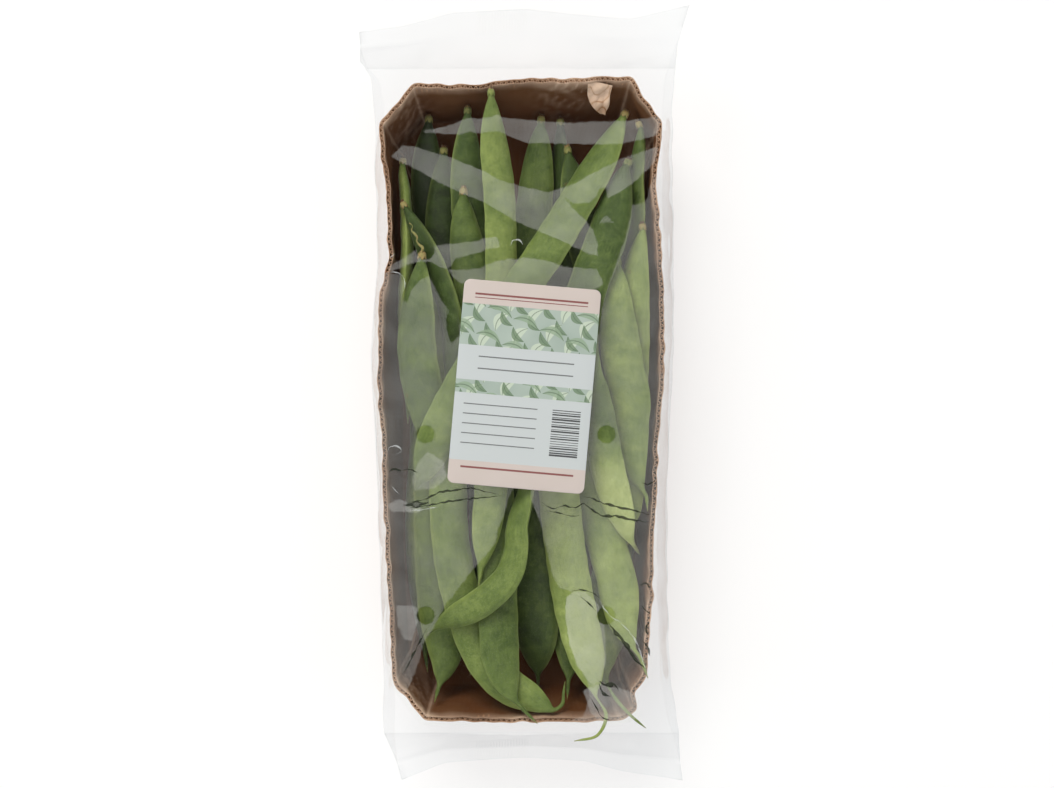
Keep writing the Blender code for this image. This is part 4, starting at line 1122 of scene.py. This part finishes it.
# The bands of leaves, each as its centre and its size, and the leaves in them: pitch, half width in a
# cell that is 1 wide, turn in radians and colour
LEAF_BANDS = [((0, 26.5), (63, 19.0)), ((0, -2.0), (63, 6.0))]
LEAVES = [(11.0, 0.2, 0.6, LEAF_PALE), (9.0, 0.17, -0.7, LEAF_DARK), (13.0, 0.13, 1.9, "#8FA58A")]

# The plain blocks and ruled lines: ink, strength, and the centre and size of each
PRINTED = [
    (WHITE, 1.0, [((0, 9.0), (63, 16.0)), ((0, -20.5), (63, 31.0))]),
    (INK, 0.75, [((0, level), (44, 0.6)) for level in (12.0, 6.5)]),
    (INK, 0.75, [((-10, level), (34, 0.5)) for level in (-10.0, -14.5, -19.0, -23.5, -28.0)]),
    (EARTH_RED, 0.9, [((0, 40.6), (52, 0.9)), ((0, 38.9), (52, 0.4)), ((0, -39.0), (52, 0.9))]),
]
BARS = ((20.5, -20.5), (13, 22.0))
BAR_PITCH = 1.1


def printed_block(made, place, centre, size):
    """1 inside an upright rectangle on the label, placed in millimetres from its middle, and 0 outside."""
    inside = [
        maths(made, "COMPARE", place.outputs[k], centre[k] * MM, size[k] / 2 * MM)
        for k in range(2)
    ]
    return product(made, *inside)


def printed_leaves(made, place, pitch, width, shift):
    """Leaves in a tilted grid: each is a bent middle line with a half width that goes as 1 - 4.4 y^2."""
    turned = add_node(
        made, "Mapping",
        {"Vector": place, "Location": (shift[0], shift[1], 0.0), "Rotation": (0, 0, shift[2]),
         "Scale": (1 / (pitch * MM), 1 / (pitch * MM), 0.0)},
    )
    cell = add_node(made, "VectorMath", {0: turned}, operation="FRACTION")
    spot = add_node(made, "SeparateXYZ", {"Vector": cell})
    sway = maths(made, "SUBTRACT", spot.outputs["Y"], 0.5)
    square = product(made, sway, sway)
    half = weighted(made, width, (square, -4.4 * width))
    bend = weighted(made, 0.4, (square, 0.9))
    off = maths(made, "SUBTRACT", spot.outputs["X"], bend)
    out = maths(made, "ABSOLUTE", off)
    leaf = maths(made, "LESS_THAN", out, half)
    vein = maths(made, "LESS_THAN", out, 0.02)
    return leaf, vein


def label_paper():
    """Coated label paper, printed: faintly glossy, with the paper's tooth under the inks."""
    made = new_material("printed_label_paper")
    place = add_node(made, "TexCoord")
    split = add_node(made, "SeparateXYZ", {"Vector": place.outputs["UV"]})
    tooth = noise(made, place.outputs["Object"], 900.0, 3.0)
    cloud = noise(made, place.outputs["Object"], 60.0, 2.0)
    paper = mixed(made, cloud, CREAM, "#CABEB7")

    def lay(under, mask, colour, strength=1.0):
        """An ink laid over what is printed so far, where the mask is 1."""
        return mixed(made, product(made, mask, strength), under, colour)
    areas = [printed_block(made, split, centre, size) for centre, size in LEAF_BANDS]
    ground = mixed(made, cloud, "#93A49A", "#B9C6BC")
    for area in areas:
        paper = lay(paper, area, ground)
    for number, (pitch, width, turn, colour) in enumerate(LEAVES):
        shift = (0.31 * number, 0.17 * number, turn)
        leaf, vein = printed_leaves(made, place.outputs["UV"], pitch, width, shift)
        for area in areas:
            there = product(made, leaf, area)
            paper = lay(paper, there, colour, 0.8)
            paper = lay(paper, product(made, there, vein), "#4F6650", 0.6)
    for colour, strength, blocks in PRINTED:
        for centre, size in blocks:
            paper = lay(paper, printed_block(made, split, centre, size), colour, strength)
    bars = printed_block(made, split, *BARS)
    row = product(made, split.outputs["Y"], 1 / (BAR_PITCH * MM))
    number = maths(made, "FLOOR", row)
    part = maths(made, "FRACT", row)
    chance = add_node(made, "TexWhiteNoise", {"W": number}, noise_dimensions="1D")
    wide = weighted(made, 0.25, (chance, 0.55))
    bar = maths(made, "LESS_THAN", part, wide)
    paper = lay(paper, product(made, bars, bar), INK, 0.95)
    bump = bumped(made, tooth, 0.12, 0.05)
    return surfaced(made, {"Base Color": paper, "Roughness": 0.42, "Normal": bump})


def make_label():
    """The sticker: loops of a rounded rectangle that shrink to its middle, given the paper's thickness."""
    corner = np.radians(np.linspace(0, 90, 9))
    half = np.array(LABEL_SIZE) / 2
    outline = []
    for quarter, signs in enumerate([(1, 1), (-1, 1), (-1, -1), (1, -1)]):
        turn = corner + quarter * np.pi / 2
        arc = np.stack([np.cos(turn), np.sin(turn)], axis=1) * LABEL_CORNER
        outline.append(np.array(signs) * (half - LABEL_CORNER) + arc)
    outline = np.concatenate(outline)
    shrink = np.r_[1, 0.993, np.linspace(0.98, 0.04, LABEL_LOOPS - 2)][:, None, None]
    place = (outline * shrink).reshape(-1, 2)
    place = np.concatenate([place, [[0.0, 0.0]]])
    count = len(outline)
    faces = lattice_faces(LABEL_LOOPS, count, joined=True)
    faces += fan_faces((LABEL_LOOPS - 1) * count + np.arange(count), LABEL_LOOPS * count)
    x = LABEL_CENTRE[0] + place[:, 0] * math.cos(LABEL_TURN) - place[:, 1] * math.sin(LABEL_TURN)
    y = LABEL_CENTRE[1] + place[:, 0] * math.sin(LABEL_TURN) + place[:, 1] * math.cos(LABEL_TURN)
    points = np.stack([x, y, height_at(x[None], y[None])[0] + 0.05 + PAPER_THICKNESS], axis=1)
    sticker = make_piece("printed_label", points, faces, label_paper(), uv=place * MM)
    dress(thicken(sticker, PAPER_THICKNESS), "label_paper", "label")


make_label()


# Studio
# A white table lit from within, as for a shop's catalogue, and soft light: a wide panel over the pack,
# which the film mirrors, a key from beyond the tray's top end, and fills from the other sides. Lengths
# here are in metres.
CAMERA_PLACE = (0.0012, 0.0002, 1.15)
FILM_LEVEL = 0.04
VIEW_WIDTH = 0.487
SENSOR = 36.0
GLOSS_SHARE = 0.3
TABLE_HALF = 3.0
TABLE_DROP = 0.0002
TABLE_GLOW = 0.62


def soft_light(name, place, size, radiance, colour, aim=(0.0, 0.0, 0.02)):
    """A rectangular light of the given size that faces `aim`. Its power is radiance times area times pi."""
    lamp = bpy.data.lights.new(name, "AREA")
    lamp.shape = "RECTANGLE"
    lamp.size, lamp.size_y = size
    lamp.energy = radiance * size[0] * size[1] * math.pi
    lamp.color = linear(colour)[:3]
    light = bpy.data.objects.new(name, lamp)
    light.location = place
    down = Vector(aim) - Vector(place)
    light.rotation_euler = down.to_track_quat("-Z", "Y").to_euler()
    bpy.context.scene.collection.objects.link(light)
    return light


def flagged_light(name, place, size, radiance, colour):
    """A soft light that gloss sees at three tenths of its strength, as with a diffusing flag before it."""
    soft_light(name, place, size, radiance, colour).visible_glossy = False
    soft_light(name + "_in_gloss", place, size, GLOSS_SHARE * radiance, colour).visible_diffuse = False


soft_light("overhead_panel", (0.0, 0.0, 1.405), (1.1, 1.3), 0.85, "#FFFBF2", (0.0, 0.0, 0.0))
flagged_light("key_beyond_the_top_end", (-0.9, 2.2, 2.0), (2.0, 1.4), 7.6, "#FFFCF6")
flagged_light("fill_beyond_the_bottom_end", (0.4, -2.6, 2.1), (2.6, 1.6), 1.7, "#FFFFFF")
flagged_light("left_fill", (-2.7, -0.2, 1.9), (2.0, 1.8), 2.3, "#FAFCFF")
flagged_light("right_fill", (2.7, -0.2, 1.9), (2.0, 1.8), 1.2, "#FAFCFF")

world = bpy.data.worlds.new("studio_room")
bpy.context.scene.world = world
world.use_nodes = True
room = world.node_tree.nodes
upward = room.new("ShaderNodeSeparateXYZ")
world.node_tree.links.new(room.new("ShaderNodeTexCoord").outputs["Generated"], upward.inputs[0])
wall = room.new("ShaderNodeMapRange")
wall.inputs["To Min"].default_value, wall.inputs["To Max"].default_value = 0.5, 0.05
world.node_tree.links.new(upward.outputs["Z"], wall.inputs["Value"])
world.node_tree.links.new(wall.outputs[0], room["Background"].inputs["Strength"])
room["Background"].inputs["Color"].default_value = (0.96, 0.98, 1.0, 1.0)

floor_mesh = bpy.data.meshes.new("studio_floor")
quarters = [(-1, -1), (1, -1), (1, 1), (-1, 1)]
floor_corners = [(TABLE_HALF * x, TABLE_HALF * y, -TABLE_DROP) for x, y in quarters]
floor_mesh.from_pydata(floor_corners, [], [(0, 1, 2, 3)])
studio_floor = bpy.data.objects.new("studio_floor", floor_mesh)
bpy.context.scene.collection.objects.link(studio_floor)
white_table = {"Base Color": "#A8A8A8", "Roughness": 0.9, "Emission Color": "#FFFFFF"}
paint = surfaced(new_material("lit_white_table"), {**white_table, "Emission Strength": TABLE_GLOW})
floor_mesh.materials.append(paint)

camera = bpy.data.cameras.new("camera")
camera.sensor_width = SENSOR
camera.lens = SENSOR * (CAMERA_PLACE[2] - FILM_LEVEL) / VIEW_WIDTH
camera.clip_start, camera.clip_end = 0.01, 20.0
viewer = bpy.data.objects.new("camera", camera)
viewer.location = CAMERA_PLACE
bpy.context.scene.collection.objects.link(viewer)
bpy.context.scene.camera = viewer
bpy.context.scene.view_settings.view_transform = "Standard"
